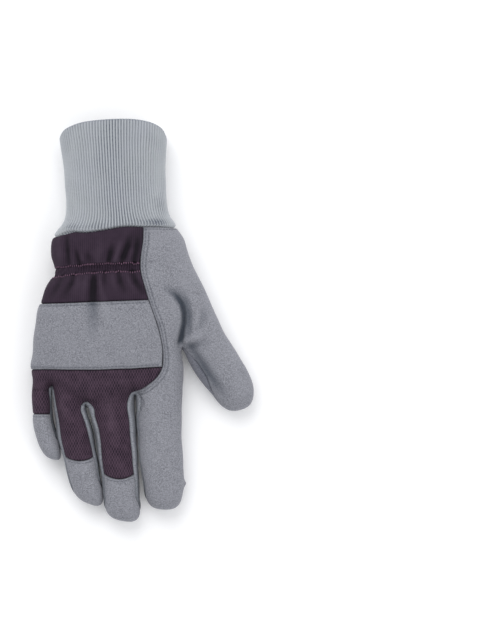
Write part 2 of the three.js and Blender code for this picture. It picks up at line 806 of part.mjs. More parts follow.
function fourchette(leftName, rightName, crotch) {
  const columns = [];
  const side = (name, hand) => {
    const tube = FINGERS[name];
    const back = hand > 0 ? tube.seamRight : tube.seamLeft;
    const lines = [...tube.shaft, ...tube.cap].map((s) => [
      fingerRay(tube, s, hand, back),
      fingerRay(tube, s, hand, PALM_SEAM),
    ]);
    for (let step = 0; step < STRIP_TIP_ROWS; step += 1) {
      lines.push([tipRay(tube, step, hand, back), tipRay(tube, step, hand, PALM_SEAM)]);
    }
    return lines;
  };
  columns.push(...side(leftName, 1).reverse());
  for (const hand of [1, 0, -1]) {
    columns.push([webRay(crotch, hand, WEB_LIFTS.back), webRay(crotch, hand, WEB_LIFTS.palm)]);
  }
  columns.push(...side(rightName, -1));
  const grid = columns.map(([back, palm]) => row(back, [STRIP_STEPS, palm]));
  return wall([grid], { thickness: SUEDE_WALL });
}

// Thumb crotch: the rays of its web, and the corner where the palm's seams meet below it
const THUMB_WEB_SETBACK = 12;
const THUMB_WEB_TURN = 14;
const thumbWebY = THUMB_CROTCH.y + THUMB_WEB_SETBACK;
const thumbWeb = ray(THUMB_CROTCH.x - 3, thumbWebY, 15, THUMB_WEB_TURN, 24);
const thumbWebLow = ray(THUMB_CROTCH.x - 4, thumbWebY, 13, THUMB_WEB_TURN, -48);

// The forefinger's outer side seam below the thumb, by height up the glove
const SIDE_SEAM_Y = [-23, -33, -42, -49, -54];
const LAST_SIDE_SEAM_Y = -60;
const INDEX_SEAM_Y = [-11.8, -21, -29, -36, -42.2];
const OVER_THE_TOP = 6;
const indexSide = (y) => fingerRay(FINGERS.index, -y, 1, FINGERS.index.seamRight);

// A row to the forefinger's side seam, over the finger's middle where the row starts left of it
function sideRow(left, y, face, steps) {
  const middle = fingerRay(FINGERS.index, -y, 1, face * 90);
  if (left.origin.x > middle.origin.x - OVER_THE_TOP) {
    return row(left, [steps, indexSide(y)]);
  }
  return row(left, [steps / 2, middle], [steps / 2, indexSide(y)]);
}

// Rows of the forefinger's back between its two seams
function indexBackRows(steps) {
  const tube = FINGERS.index;
  const web = CROTCHES.index_middle;
  const seams = INDEX_SEAM_Y.map((y) => up(foreSeamX(y), y));
  const rows = [row(seams[0], [steps, thumbWeb])];
  const lefts = [...seams.slice(1), webRay(web, 0, WEB_LIFTS.back)];
  SIDE_SEAM_Y.forEach((y, i) => {
    rows.push(sideRow(lefts[i], y, 1, steps));
  });
  rows.push(sideRow(webRay(web, -1, WEB_LIFTS.back), LAST_SIDE_SEAM_Y, 1, steps));
  const keys = fingerRows(tube, 1, tube.seamLeft, tube.seamRight, [...tube.shaft, ...tube.cap]);
  return [...rows, ...keys.map((line) => fill(line, steps / 2, steps / 2))];
}

// Places of the upper rows: height on the forefinger seam and distance along the thumb
const SHOULDER_ROWS = [
  { y: 66.0, s: -11, split: 0.86 },
  { y: 55.0, s: 2, split: 0.80 },
  { y: 44.0, s: 14, split: 0.74 },
  { y: 31.0, s: 27, split: 0.68 },
  { y: 17.0, s: 39, split: 0.60 },
  { y: 2.0, s: 50, split: 0.54 },
];
const INDEX_STEPS = 6;
const THUMB_STEPS = 8;
const THUMB_EDGE_CORE = 13;
const thumbTop = (s) => thumbEdge(s, 90);
const thumbOuter = (s) => thumbEdge(s, THUMB.seamOuter);

// A ray from inside the thumb's outer edge
function thumbEdge(s, lift) {
  const shift = Math.max(0, along(THUMB.rows, s, 's', 'half') - THUMB_EDGE_CORE);
  const beam = fingerRay(THUMB, s, 1, lift);
  beam.origin.x += shift * Math.cos(THUMB_ANGLE);
  beam.origin.y += shift * Math.sin(THUMB_ANGLE);
  return beam;
}

// The cuff seam's ray at the outer edge, on the back or palm side
const CUFF_EDGE_CORE = 20;
const HEM_OUTER_LIFT = -12;
const HEM_PALM_LIFT = -62;

function hemEdge(lift) {
  const y = cuffSeamY(50);
  return ray(edgeX(y, 'right') - CUFF_EDGE_CORE, y, CORE_HEIGHT, 90, lift);
}
function forefingerThumbBack() {
  const seamTop = FOREFINGER_SEAM[0];
  const hemLeft = up(seamTop.x, cuffSeamY(seamTop.x));
  const hemMiddle = up(edgeX(cuffSeamY(50), 'right') - CUFF_EDGE_CORE, cuffSeamY(40));
  const hemOuter = hemEdge(HEM_OUTER_LIFT);
  const half = INDEX_STEPS / 2;
  const shoulder = [row(hemLeft, [half, hemMiddle], [half + THUMB_STEPS, hemOuter])];
  for (const { y, s, split } of SHOULDER_ROWS) {
    const left = up(foreSeamX(y), y);
    const top = thumbTop(s);
    const middle = rayBetween(left, top, split);
    shoulder.push(row(left, [INDEX_STEPS, middle], [THUMB_STEPS / 2, top], [THUMB_STEPS / 2, thumbOuter(s)]));
  }
  const index = indexBackRows(INDEX_STEPS);
  const crotchLine = row(thumbWeb, [THUMB_STEPS / 2, thumbTop(61)], [THUMB_STEPS / 2, thumbOuter(61)]);
  shoulder.push([...index[0], ...crotchLine.slice(1)]);
  const keys = fingerRows(THUMB, 1, THUMB.seamInner, THUMB.seamOuter, THUMB.shaft);
  const thumb = [crotchLine, ...keys.map((line) => fill(line, THUMB_STEPS / 2, THUMB_STEPS / 2))];
  return wall([shoulder, index, thumb], { thickness: SUEDE_WALL });
}

// Palm seam beside the thumb, from the cuff down to the corner below the crotch
const PALM_THUMB_SEAM = [
  { y: 66, x: 46.5, s: -11, left: 57.2 },
  { y: 55, x: 49.0, s: 2, left: 48.4 },
  { y: 44, x: 50.5, s: 14, left: 42.4 },
  { y: 30, x: 51.5, s: 27, left: 28.5 },
  { y: 16, x: 52.5, s: 39, left: 19.2 },
  { y: 4, x: 53.0, s: 50, left: 4 },
];
const hemPalm = () => hemEdge(HEM_PALM_LIFT);
const THUMB_PALM_STEPS = 3;

function thumbPalm() {
  const n = THUMB_PALM_STEPS;
  const grid = [row(hemPalm(), [2 * n, hemEdge(HEM_OUTER_LIFT)])];
  for (const { x, y, s } of PALM_THUMB_SEAM) {
    grid.push(row(down(x, y), [2 * n, thumbOuter(s)]));
  }
  const low = [thumbWebLow, fingerRay(THUMB, 60, -1, -52), fingerRay(THUMB, 57, 1, -90), thumbOuter(56)];
  const high = [thumbWeb, fingerRay(THUMB, 69, -1, -4), fingerRay(THUMB, 64, 1, -90), thumbOuter(61)];
  for (const [web, wallSide, under, outer] of [low, high]) {
    grid.push(row(web, [1, wallSide], [n - 1, under], [n, outer]));
  }
  const keys = fingerRows(THUMB, -1, THUMB.seamInner, THUMB.seamOuter, THUMB.shaft);
  for (const line of keys) {
    grid.push(fill(line, n, n));
  }
  return wall([grid], { thickness: SUEDE_WALL });
}

// Diagonal seam of the palm from the corner below the thumb crotch to the forefinger's crotch
const DIAGONAL = [
  { x: 46.5, y: -19 },
  { x: 37.5, y: -28.5 },
  { x: 28.5, y: -38 },
];
const SEAM_ROW = [
  { left: -19, at: 0 },
  { left: -28.5, at: 1 },
  { left: -38, at: 2 },
];
const FOREFINGER_PALM_STEPS = 6;

function forefingerPalm() {
  const n = FOREFINGER_PALM_STEPS;
  const tube = FINGERS.index;
  const web = CROTCHES.index_middle;
  const grid = [row(thumbWebLow, [n, thumbWeb])];
  const lefts = DIAGONAL.map(({ x, y }) => down(x, y));
  lefts.push(webRay(web, 0, WEB_LIFTS.palm), webRay(web, -1, WEB_LIFTS.palm));
  [...SIDE_SEAM_Y.slice(0, 4), LAST_SIDE_SEAM_Y].forEach((y, i) => {
    grid.push(sideRow(lefts[i], y, -1, n));
  });
  const keys = fingerRows(tube, -1, PALM_SEAM, tube.seamRight, [...tube.shaft, ...tube.cap]);
  for (const line of keys) {
    grid.push(fill(line, n / 2, n / 2));
  }
  return wall([grid], { thickness: SUEDE_WALL });
}

const PALM_EDGE_STEPS = 2;
const PALM_STEPS = 10;

function palmRow(y, right) {
  const start = ray(leftCore(y), y, CORE_HEIGHT, 0, -90);
  return row(leftSeam(y), [PALM_EDGE_STEPS, start], [PALM_STEPS, right]);
}

function littlePalmRow(y, right) {
  const tube = FINGERS.little;
  const { x, z } = fingerPoint(tube, -y);
  const seam = ray(x, y, z, -90, tube.seamLeft);
  return row(seam, [PALM_EDGE_STEPS, fingerRay(tube, -y, 1, -90)], [2, right]);
}

function palmPanel() {
  const hemLeftY = cuffSeamY(-44);
  const hem = palmRow(hemLeftY, hemPalm()).map((beam) => {
    const moved = { ...beam, origin: beam.origin.clone() };
    moved.origin.y = cuffSeamY(beam.origin.x);
    return moved;
  });
  hem[0] = leftSeam(cuffSeamY(-48));
  hem[hem.length - 1] = hemPalm();
  const grid = [hem];
  for (const { x, y, left } of PALM_THUMB_SEAM) {
    grid.push(palmRow(left, down(x, y)));
  }
  grid.push(palmRow(-8, thumbWebLow));
  for (const { left, at } of SEAM_ROW) {
    grid.push(palmRow(left, down(DIAGONAL[at].x, DIAGONAL[at].y)));
  }
  const outer = CROTCHES.ring_little;
  const little = [littlePalmRow(outer.y, webRay(outer, 0, WEB_LIFTS.palm))];
  const ring = rootRows(FINGERS.ring, outer, CROTCHES.middle_ring, -1, BACK_STEPS.ring, BACK_STEPS.ring)[0];
  const middle = rootRows(FINGERS.middle, CROTCHES.middle_ring, CROTCHES.index_middle, -1,
    BACK_STEPS.middle, BACK_STEPS.middle)[0];
  const last = [...little[0], ...ring.slice(1), ...middle.slice(1)];
  const columns = last.length - 1 - PALM_EDGE_STEPS;
  const body = grid.map((line) => resample(line, columns));
  body.push(last);
  little.push(littlePalmRow(outer.y - LITTLE_WALL_DROP, webRay(outer, 1, WEB_LIFTS.palm)));
  const tube = FINGERS.little;
  for (const s of [...tube.shaft, ...tube.cap]) {
    little.push(littlePalmRow(-s, fingerRay(tube, s, 1, PALM_SEAM)));
  }
  for (let step = 0; step < TIP_ROWS.length; step += 1) {
    const seam = tipRay(tube, step, -1, tube.seamLeft);
    const right = tipRay(tube, step, 1, PALM_SEAM);
    little.push(row(seam, [PALM_EDGE_STEPS, tipRay(tube, step, 0, -1)], [2, right]));
  }
  return wall([body, little], { thickness: SUEDE_WALL });
}

// Spreads the part of a palm row right of the edge over a number of steps
function resample(line, steps) {
  const head = line.slice(0, PALM_EDGE_STEPS + 1);
  const tail = line.slice(PALM_EDGE_STEPS);
  for (let i = 1; i <= steps; i += 1) {
    const t = (i / steps) * (tail.length - 1);
    const k = Math.min(Math.floor(t), tail.length - 2);
    head.push(i === steps ? tail[tail.length - 1] : rayBetween(tail[k], tail[k + 1], t - k));
  }
  return head;
}

// Ribbed knit cuff: a tube whose outer face rises and falls from rib to rib
const CUFF_ROWS = [0, 0.16, 0.55, 1];
const CUFF_CENTRE = 7;
const CUFF_REACH = 44;
const CUFF_GAP = 0.2;
const RIB_FADE = 8;

function knitCuff() {
  const points = CUFF_RIBS * 2;
  const grid = CUFF_ROWS.map((t) => {
    const rays = [];
    for (let i = 0; i <= points; i += 1) {
      const angle = (2 * Math.PI * (i % points)) / points;
      const seamY = cuffSeamY(CUFF_CENTRE + CUFF_REACH * Math.cos(angle));
      const rimY = RIM_Y + RIM_ARCH * Math.sin(angle) ** 2;
      const y = THREE.MathUtils.lerp(seamY + CUFF_GAP, rimY, t);
      const half = (edgeX(y, 'right') - edgeX(y, 'left')) / 2;
      const rise = (edgeX(y, 'top') - edgeX(y, 'sole')) / 2;
      const direction = new THREE.Vector3(half * Math.cos(angle), 0, rise * Math.sin(angle)).normalize();
      const origin = new THREE.Vector3(edgeX(y, 'left') + half, y, edgeX(y, 'sole') + rise);
      const raise = i % 2 ? -RIB_DEPTH * Math.min(1, t * RIB_FADE) : 0;
      rays.push({ origin, direction, raise });
    }
    return rays;
  });
  return wall([grid], { thickness: KNIT_WALL });
}

// Finishes
const KNIT = new THREE.MeshStandardMaterial({ color: 0x989ca3, roughness: 0.95, metalness: 0 });
const PLUM = new THREE.MeshStandardMaterial({ color: 0x443846, roughness: 0.85, metalness: 0 });
const SUEDE = new THREE.MeshStandardMaterial({ color: 0x888890, roughness: 0.95, metalness: 0 });
const PALM_SUEDE = new THREE.MeshStandardMaterial({ color: 0x7a7b84, roughness: 0.95, metalness: 0 });

const PIECES = [
  ['knit_cuff', knitCuff, KNIT],
  ['wrist_panel', wristPanel, PLUM],
  ['knuckle_strap', knuckleStrap, SUEDE],
  ['back_panel', backPanel, PLUM],
  ['fingertip_cap_middle', () => fingertipCap('middle'), SUEDE],
  ['fingertip_cap_ring', () => fingertipCap('ring'), SUEDE],
  ['fingertip_cap_little', () => fingertipCap('little'), SUEDE],
  ['forefinger_thumb_back', forefingerThumbBack, SUEDE],
  ['thumb_palm', thumbPalm, PALM_SUEDE],
  ['fourchette_index_middle', () => fourchette('middle', 'index', CROTCHES.index_middle), SUEDE],
  ['fourchette_middle_ring', () => fourchette('ring', 'middle', CROTCHES.middle_ring), SUEDE],
  ['fourchette_ring_little', () => fourchette('little', 'ring', CROTCHES.ring_little), SUEDE],
  ['palm_panel', palmPanel, PALM_SUEDE],
  ['forefinger_palm', forefingerPalm, PALM_SUEDE],
  ['middle_finger_palm', () => fingerPalm('middle'), PALM_SUEDE],
  ['ring_finger_palm', () => fingerPalm('ring'), PALM_SUEDE],
];

const glove = new THREE.Group();
for (const [name, build, material] of PIECES) {
  const mesh = new THREE.Mesh(build(), material);
  mesh.name = name;
  glove.add(mesh);
}

export default glove;
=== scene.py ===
"""Synthetic suede work glove, right hand, lying palm down with its knit cuff up the frame.

Sizes are in millimetres until a piece's vertices are placed, which is in metres in the shared frame.
Every panel is a set of ray grids that leave the hollow of the hand and stop at the glove's skin.
"""
import logging
import math
from collections.abc import Callable
from dataclasses import dataclass, field
from enum import Enum
from functools import cached_property

import bmesh
import bpy
import numpy as np
from mathutils import Matrix, Vector
from mathutils.bvhtree import BVHTree
from mathutils.kdtree import KDTree


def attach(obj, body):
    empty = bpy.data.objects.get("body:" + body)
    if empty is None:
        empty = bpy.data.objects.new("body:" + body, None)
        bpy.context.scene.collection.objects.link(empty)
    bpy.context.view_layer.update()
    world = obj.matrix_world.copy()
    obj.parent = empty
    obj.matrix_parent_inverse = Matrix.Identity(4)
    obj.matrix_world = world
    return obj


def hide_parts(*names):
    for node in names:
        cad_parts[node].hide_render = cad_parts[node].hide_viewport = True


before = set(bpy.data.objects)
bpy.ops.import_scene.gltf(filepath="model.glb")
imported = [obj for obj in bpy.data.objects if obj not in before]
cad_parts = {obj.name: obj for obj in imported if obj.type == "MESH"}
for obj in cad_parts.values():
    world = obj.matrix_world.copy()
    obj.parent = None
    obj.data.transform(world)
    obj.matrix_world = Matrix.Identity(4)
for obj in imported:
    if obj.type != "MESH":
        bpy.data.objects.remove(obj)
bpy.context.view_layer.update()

MM = 0.001
CORE_HEIGHT = 16.0
FINGER_START = 34.0
FINGER_BLEND = 3.5
FINGER_GAP = 1.0
THUMB_BLEND = 5.0
WEB_SETBACK = 2.5

# The open slot below each crotch, which the strip between the fingers turns round
SLOT_SLOPES = {"ring_little": 0.14, "middle_ring": 0.24, "index_middle": 0.05}
SLOT_HALF = 1.0
SLOT_SETBACK = 0.5
SLOT_LENGTH = 11.0

log = logging.getLogger("glove")

Array = np.ndarray


class Held(Enum):
    """How a sheet of cloth is held in the glove."""

    GATHERED = "gathered"
    LAID = "laid"
    STRETCHED = "stretched"


class Side(Enum):
    """A border of a grid of rays."""

    FIRST_ROW = "first row"
    LAST_ROW = "last row"
    LEFT = "left"
    RIGHT = "right"


# Tables and tubes


class Table:
    """A short table of named columns, read on a smooth curve through its rows."""

    STEP = 0.25

    def __init__(self, columns: str, rows: tuple[tuple[float, ...], ...]) -> None:
        """Keeps each column as a dense curve.

        Args:
            columns: Names of the columns, parted by spaces. The first is the place.
            rows: One tuple of values for each place.
        """
        data = np.array(sorted(rows))
        key = data[:, 0]
        count = math.ceil((key[-1] - key[0]) / self.STEP) + 1
        self.places = np.linspace(key[0], key[-1], count)
        names = columns.split()[1:]
        self.curves = {name: self._curve(key, data[:, i + 1]) for i, name in enumerate(names)}

    def _curve(self, key: Array, value: Array) -> Array:
        """Catmull-Rom curve through one column.

        Args:
            key: Places of the rows.
            value: The column's values there.

        Returns:
            The values at the dense places.
        """
        low = np.maximum(np.arange(len(key)) - 1, 0)
        high = np.minimum(np.arange(len(key)) + 1, len(key) - 1)
        slope = (value[high] - value[low]) / (key[high] - key[low])
        i = np.clip(np.searchsorted(key, self.places) - 1, 0, len(key) - 2)
        span = key[i + 1] - key[i]
        t = (self.places - key[i]) / span
        m0, m1, a, b = slope[i] * span, slope[i + 1] * span, value[i], value[i + 1]
        return a + t * (m0 + t * (3 * (b - a) - 2 * m0 - m1 + t * (2 * (a - b) + m0 + m1)))

    def at(self, column: str, places: Array | float) -> Array | float:
        """Value of a column at one or more places."""
        return np.interp(places, self.places, self.curves[column])


@dataclass(frozen=True)
class Tube:
    """A padded tube of the hand: rows of distance, centre, half width, middle height and half height."""

    rows: tuple[tuple[float, ...], ...]
    power: float
    tip: float
    end: float = 1e4
    start: float = -1e4
    plan: float = 0.0
    shaft: tuple[float, ...] = ()
    cap: tuple[float, ...] = ()
    seams: tuple[tuple[float, float, float], ...] = ()
    tip_power: float = 2.35
    lean: float = 0.0
    tip_turn: float = 48.0

    @cached_property
    def seam_table(self) -> Table:
        """Lifts of the left and right seams of the back along the tube."""
        return Table("s left right", self.seams)

    def lift(self, side: int, s: float) -> float:
        """Lift of the left (-1) or right (1) seam at a place."""
        return float(self.seam_table.at("left" if side < 0 else "right", s))

    @cached_property
    def table(self) -> Table:
        """The rows as smooth curves."""
        return Table("s centre half mid rise", self.rows)

    def distance(self, s: Array, across: Array, z: Array, over: Array | None = None) -> Array:
        """Distance to the tube's skin, less than zero inside it.

        Args:
            s: Distances along the tube.
            across: Distances to the side of its line.
            z: Heights.
            over: How far each point is past the tube's end, where that isn't told by s.

        Returns:
            The distances in millimetres.
        """
        at = self.table.at
        n, m, half, rise = self.power, self.tip_power, at("half", s), at("rise", s)
        off = across - at("centre", s)
        if over is None:
            over = np.maximum(s - self.end - self.lean * off, self.start - s)
        u, v = np.abs(off) / half, np.abs(z - at("mid", s)) / rise
        e = np.maximum(0, over) / self.tip
        un, vn = u ** (n - 1), v ** (n - 1)
        ring = np.maximum(un * u + vn * v, 1e-9) ** (1 / n)
        q = np.maximum(ring ** m + e ** m, 1e-9) ** (1 / m)
        ring_grow = np.sqrt((un / half) ** 2 + (vn / rise) ** 2) / ring ** (n - 1)
        grow = np.sqrt(((ring / q) ** (m - 1) * ring_grow) ** 2 + ((e / q) ** (m - 1) / self.tip) ** 2)
        return (q - 1) / np.maximum(grow, 1e-9)


def body_rows(rows: tuple[tuple[float, ...], ...]) -> tuple[tuple[float, ...], ...]:
    """Turns left, right, top and sole into centre, half width, middle height and half height."""
    return tuple(
        (s, (left + right) / 2, (right - left) / 2, (top + sole) / 2, (top - sole) / 2)
        for s, left, right, top, sole in rows
    )


BODY = Tube(
    rows=body_rows((
        (-162, -37.2, 46.2, 44.5, -1.2), (-148, -36.2, 45.2, 44.5, -1.2), (-132, -33.8, 43.8, 43.5, -1.2),
        (-110, -31.6, 43.4, 42.0, -1.2), (-92, -30.6, 44.4, 40.5, -1.2), (-84, -31.6, 46.6, 40.5, -1.2),
        (-76, -35.4, 51.0, 41.5, -1.4), (-66, -41.0, 54.8, 42.5, -1.8), (-56, -41.6, 56.0, 42.0, -2.0),
        (-45, -39.6, 55.2, 39.5, -2.0), (-32, -45.2, 54.2, 41.0, -2.0), (-18, -50.0, 54.0, 40.5, -2.0),
        (0, -53.2, 54.0, 39.0, -2.0), (16, -55.0, 54.2, 37.0, -2.0), (34, -56.2, 54.6, 34.0, -2.0),
        (60, -56.4, 54.6, 30.5, -2.0),
    )),
    power=2.5,
    tip_power=2.5,
    tip=11,
)
LITTLE = Tube(
    rows=(
        (38, -48.6, 7.6, 12.5, 13.5), (48, -49.4, 7.0, 12.0, 13.0), (62, -48.9, 6.8, 11.8, 12.8),
        (73, -47.2, 7.1, 11.4, 12.4), (82, -44.9, 7.5, 11.0, 12.0), (90, -42.6, 7.2, 10.8, 11.6),
        (97, -40.2, 7.0, 10.6, 11.2),
    ),
    power=2.35, start=FINGER_START, end=82, tip=14.6, shaft=(56, 62.5), cap=(70, 78),
    seams=((56, -34, 40), (82, -34, 40)), tip_power=3.0, lean=0.2,
)
RING = Tube(
    rows=(
        (40, -29.6, 11.6, 13.5, 14.5), (58, -28.3, 11.6, 13.0, 14.0), (75, -24.8, 13.4, 12.8, 13.8),
        (90, -21.8, 12.8, 12.6, 13.6), (104, -18.7, 12.0, 12.2, 13.2), (115, -16.4, 11.2, 11.8, 12.8),
        (130, -13.3, 9.9, 11.2, 12.0),
    ),
    power=2.35, start=FINGER_START, end=114, tip=15.4, shaft=(64, 74, 85, 94), cap=(103, 111),
    seams=((64, 38, 46), (74, 38, 39), (85, 38, 34), (94, 38, 37), (115, 34, 34)), tip_power=3.2, lean=0.36,
)
MIDDLE = Tube(
    rows=(
        (40, 1.9, 17.6, 13.8, 14.8), (58, 2.0, 17.4, 13.4, 14.4), (75, 5.1, 15.6, 13.2, 14.2),
        (90, 6.9, 14.9, 13.0, 14.0), (107, 8.9, 14.0, 12.6, 13.6), (126, 10.6, 13.0, 12.0, 13.0),
        (142, 11.0, 12.8, 11.4, 12.2),
    ),
    power=2.4, start=FINGER_START, end=125.5, tip=16.5, shaft=(64, 74, 85, 96, 107), cap=(116,),
    seams=((64, 38, 38), (85, 40, 40), (107, 35, 40), (125, 30, 36)), tip_power=3.3, lean=0.2,
)
INDEX = Tube(
    rows=(
        (30, 38.0, 16.6, 14.0, 15.0), (58, 37.9, 16.7, 13.6, 14.6), (74, 38.4, 16.4, 13.2, 14.2),
        (90, 39.3, 16.1, 13.0, 14.0), (106, 40.4, 15.5, 12.6, 13.6), (117, 41.3, 14.8, 12.2, 13.2),
        (134, 42.0, 13.2, 11.6, 12.4),
    ),
    power=2.4, start=FINGER_START, end=116.5, tip=17.0, shaft=(64, 76, 88, 100), cap=(110,),
    seams=((64, 24, -8), (116, 24, -8)), tip_power=3.1,
)
FINGERS = {"little": LITTLE, "ring": RING, "middle": MIDDLE, "index": INDEX}

THUMB_ROOT = (48.1, 50.3)
THUMB = Tube(
    rows=(
        (-24, -9.0, 15.0, 19.0, 17.0), (-14, -8.6, 21.5, 19.0, 19.5), (-5, -8.8, 21.6, 18.8, 19.4),
        (14, -7.6, 20.4, 18.0, 18.8), (33, -5.6, 18.8, 16.8, 17.6), (53, -3.2, 16.4, 15.4, 16.2),
        (63, -2.8, 16.1, 14.8, 15.6), (73, -2.0, 16.6, 14.2, 15.2), (84, -0.5, 17.0, 13.6, 14.6),
        (94, 1.3, 16.4, 13.0, 14.0), (104, 2.4, 14.8, 12.4, 13.4), (122, 2.6, 13.4, 11.8, 12.6),
    ),
    power=2.35, start=-18, end=103, tip=18.5, plan=math.radians(24.2), shaft=(74, 81, 88, 95),
    seams=((74, 38, -22), (81, 41, -22), (88, 40, -22), (95, 32, -22), (103, 18, -22)),
    tip_power=2.45, tip_turn=76.0,
)
THUMB_OUTER = -22.0

CROTCHES = {
    "ring_little": (-41.8, -44.0),
    "middle_ring": (-15.1, -56.8),
    "index_middle": (20.3, -49.8),
}
THUMB_CROTCH = (55.2, -11.5)
WEBS = Table("x y", ((-60, -44.0), *CROTCHES.values(), (60, -49.8)))

CUFF_SEAM = Table("x y", (
    (-44, 68.0), (-39, 69.0), (-30, 72.6), (-15, 72.2), (0, 74.2), (12, 76.3), (27, 76.2), (56, 76.0),
))
FOREFINGER_SEAM = Table("y x", (
    (76.2, 27.4), (62.0, 26.8), (48.8, 24.6), (36.3, 27.1), (19.2, 32.2), (4.4, 37.6), (-11.8, 41.2),
    (-27.4, 41.0), (-35.5, 36.6), (-42.2, 29.0), (-46.0, 21.5),
))
ELASTIC_TOP = Table("x y", ((-42, 45.3), (-22, 47.4), (0, 48.9), (27, 48.9)))
ELASTIC_BOTTOM = Table("x y", ((-42, 39.2), (-16, 41.8), (5, 43.0), (27, 43.8)))


# The skin


class Skin:
    """The glove's outer skin: the body, the fingers and the thumb, run softly into each other."""

    MARCH = 0.3
    REACH = 90.0
    HALVINGS = 11
    SLOPE_STEP = 0.3
    THUMB_SIDE = 15.0
    FINGER_SIDE = -10.0

    @staticmethod
    def blend(a: Array, b: Array, reach: float) -> Array:
        """The lower of two distances, rounded where they are near each other."""
        near = np.maximum(reach - np.abs(a - b), 0)
        return np.minimum(a, b) - near * near / (4 * reach)

    def distance(self, points: Array) -> Array:
        """Distance to the skin, less than zero inside it.

        Args:
            points: Rows of x, y and z.

        Returns:
            One distance for each point.
        """
        x, y, z = points[:, 0], points[:, 1], points[:, 2]
        over = WEBS.at("y", x) + BODY.tip + WEB_SETBACK - y
        hand = BODY.distance(-y, x, z, over)
        right = np.flatnonzero(x > self.THUMB_SIDE)
        dx, dy = x[right] - THUMB_ROOT[0], y[right] - THUMB_ROOT[1]
        sin, cos = math.sin(THUMB.plan), math.cos(THUMB.plan)
        thumb = THUMB.distance(dx * sin - dy * cos, dx * cos + dy * sin, z[right])
        hand[right] = self.blend(hand[right], thumb, THUMB_BLEND)
        low = np.flatnonzero(y < self.FINGER_SIDE)
        nearest = np.full(len(low), 1e3)
        second = nearest
        for tube in FINGERS.values():
            own = tube.distance(-y[low], x[low], z[low])
            second = np.minimum(second, np.maximum(nearest, own))
            nearest = np.minimum(nearest, own)
        fingers = np.maximum(nearest, (nearest - second + FINGER_GAP) / 2)
        hand[low] = self.blend(hand[low], fingers, FINGER_BLEND)
        for name, (crotch_x, crotch_y) in CROTCHES.items():
            into = crotch_y - y[low]
            aside = np.abs(x[low] - crotch_x - SLOT_SLOPES[name] * into)
            slot = np.minimum(SLOT_HALF - aside, np.minimum(into - SLOT_SETBACK, SLOT_LENGTH - into))
            hand[low] = np.maximum(hand[low], slot)
        return hand

    def outside(self, rays: Array, reach: Array, proud: Array) -> Array:
        """Whether each ray has left the skin, moved out by proud, at its reach."""
        points = rays[:, :3] + rays[:, 3:6] * reach[:, None]
        return (self.distance(points) > proud) | (points[:, 2] < np.maximum(-proud, 0))

    def meet(self, rays: Array, raised: float = 0.0) -> Array:
        """Where rays meet the skin or the floor.

        Args:
            rays: Any array of rays, with the seven numbers of each along its last axis.
            raised: How far the piece stands off the skin.

        Returns:
            The points, in an array of the same shape.
        """
        flat = rays.reshape(-1, 7)
        proud = flat[:, 6] + raised
        near = np.zeros(len(flat))
        far = np.zeros(len(flat))
        inside = np.arange(len(flat))
        while len(inside) and far[inside[0]] < self.REACH:
            left = self.outside(flat[inside], far[inside], proud[inside])
            inside = inside[~left]
            near[inside] = far[inside]
            far[inside] += self.MARCH
        for _ in range(self.HALVINGS):
            middle = (near + far) / 2
            left = self.outside(flat, middle, proud)
            far = np.where(left, middle, far)
            near = np.where(left, near, middle)
        points = flat[:, :3] + flat[:, 3:6] * ((near + far) / 2)[:, None]
        points[:, 2] = np.where(np.abs(points[:, 2]) < 1e-2, 0, points[:, 2])
        return points.reshape(*rays.shape[:-1], 3)

    def outward(self, points: Array) -> Array:
        """The skin's unit normals at points near it."""
        slopes = [
            self.distance(points + offset) - self.distance(points - offset)
            for offset in np.eye(3) * self.SLOPE_STEP
        ]
        normals = np.stack(slopes, axis=1)
        return normals / np.maximum(np.linalg.norm(normals, axis=1, keepdims=True), 1e-9)


# Rays


def ray(x: float, y: float, z: float, turn: float, lift: float) -> Array:
    """A ray from a point of the hollow.

    Args:
        x: Place of the start.
        y: Place of the start.
        z: Height of the start.
        turn: Heading in plan, in degrees from the fingers towards the thumb.
        lift: Rise of the heading, in degrees.

    Returns:
        Seven numbers: the start, the direction and how far the ray ends off the skin.
    """
    heading, climb = math.radians(turn), math.radians(lift)
    level = math.cos(climb)
    return np.array((x, y, z, level * math.sin(heading), -level * math.cos(heading), math.sin(climb), 0.0))


def between(a: Array, b: Array, t: Array | float) -> Array:
    """Rays a share t of the way from a to b."""
    mixed = a + (b - a) * t
    mixed[..., 3:6] /= np.linalg.norm(mixed[..., 3:6], axis=-1, keepdims=True)
    return mixed


def row(first: Array, *steps: tuple[int, Array]) -> Array:
    """Rays from one key ray to the next, with a number of steps to each."""
    rays = [first]
    start = first
    for count, stop in steps:
        rays += [between(start, stop, i / count) for i in range(1, int(count))] + [stop]
        start = stop
    return np.stack(rays)


def refine(grid: Array, down: int, along: int) -> Array:
    """Adds rays between a grid's rows, on a smooth curve, and between its columns.

    Args:
        grid: Rows of rays.
        down: Steps from one row to the next.
        along: Steps from one column to the next.

    Returns:
        The finer grid.
    """
    last = len(grid) - 1
    rows = []
    for i in range(last):
        a, b, c, d = (grid[min(max(i + k, 0), last)] for k in (-1, 0, 1, 2))
        m0 = (c - a) / 2 if i else c - b
        m1 = (d - b) / 2 if i + 1 < last else c - b
        for t in np.arange(down) / down:
            rows.append(b + t * (m0 + t * (3 * (c - b) - 2 * m0 - m1 + t * (2 * (b - c) + m0 + m1))))
    fine = np.stack([*rows, grid[last]])
    shares = np.linspace(0, fine.shape[1] - 1, (fine.shape[1] - 1) * along + 1)
    k = np.minimum(shares.astype(int), fine.shape[1] - 2)
    t = (shares - k)[None, :, None]
    fine = fine[:, k] * (1 - t) + fine[:, k + 1] * t
    fine[..., 3:6] /= np.linalg.norm(fine[..., 3:6], axis=-1, keepdims=True)
    return fine


EDGE_CORE = 17.0
EDGE_LIFT = 20.0
LEFT_SEAM_LIFT = -38.0


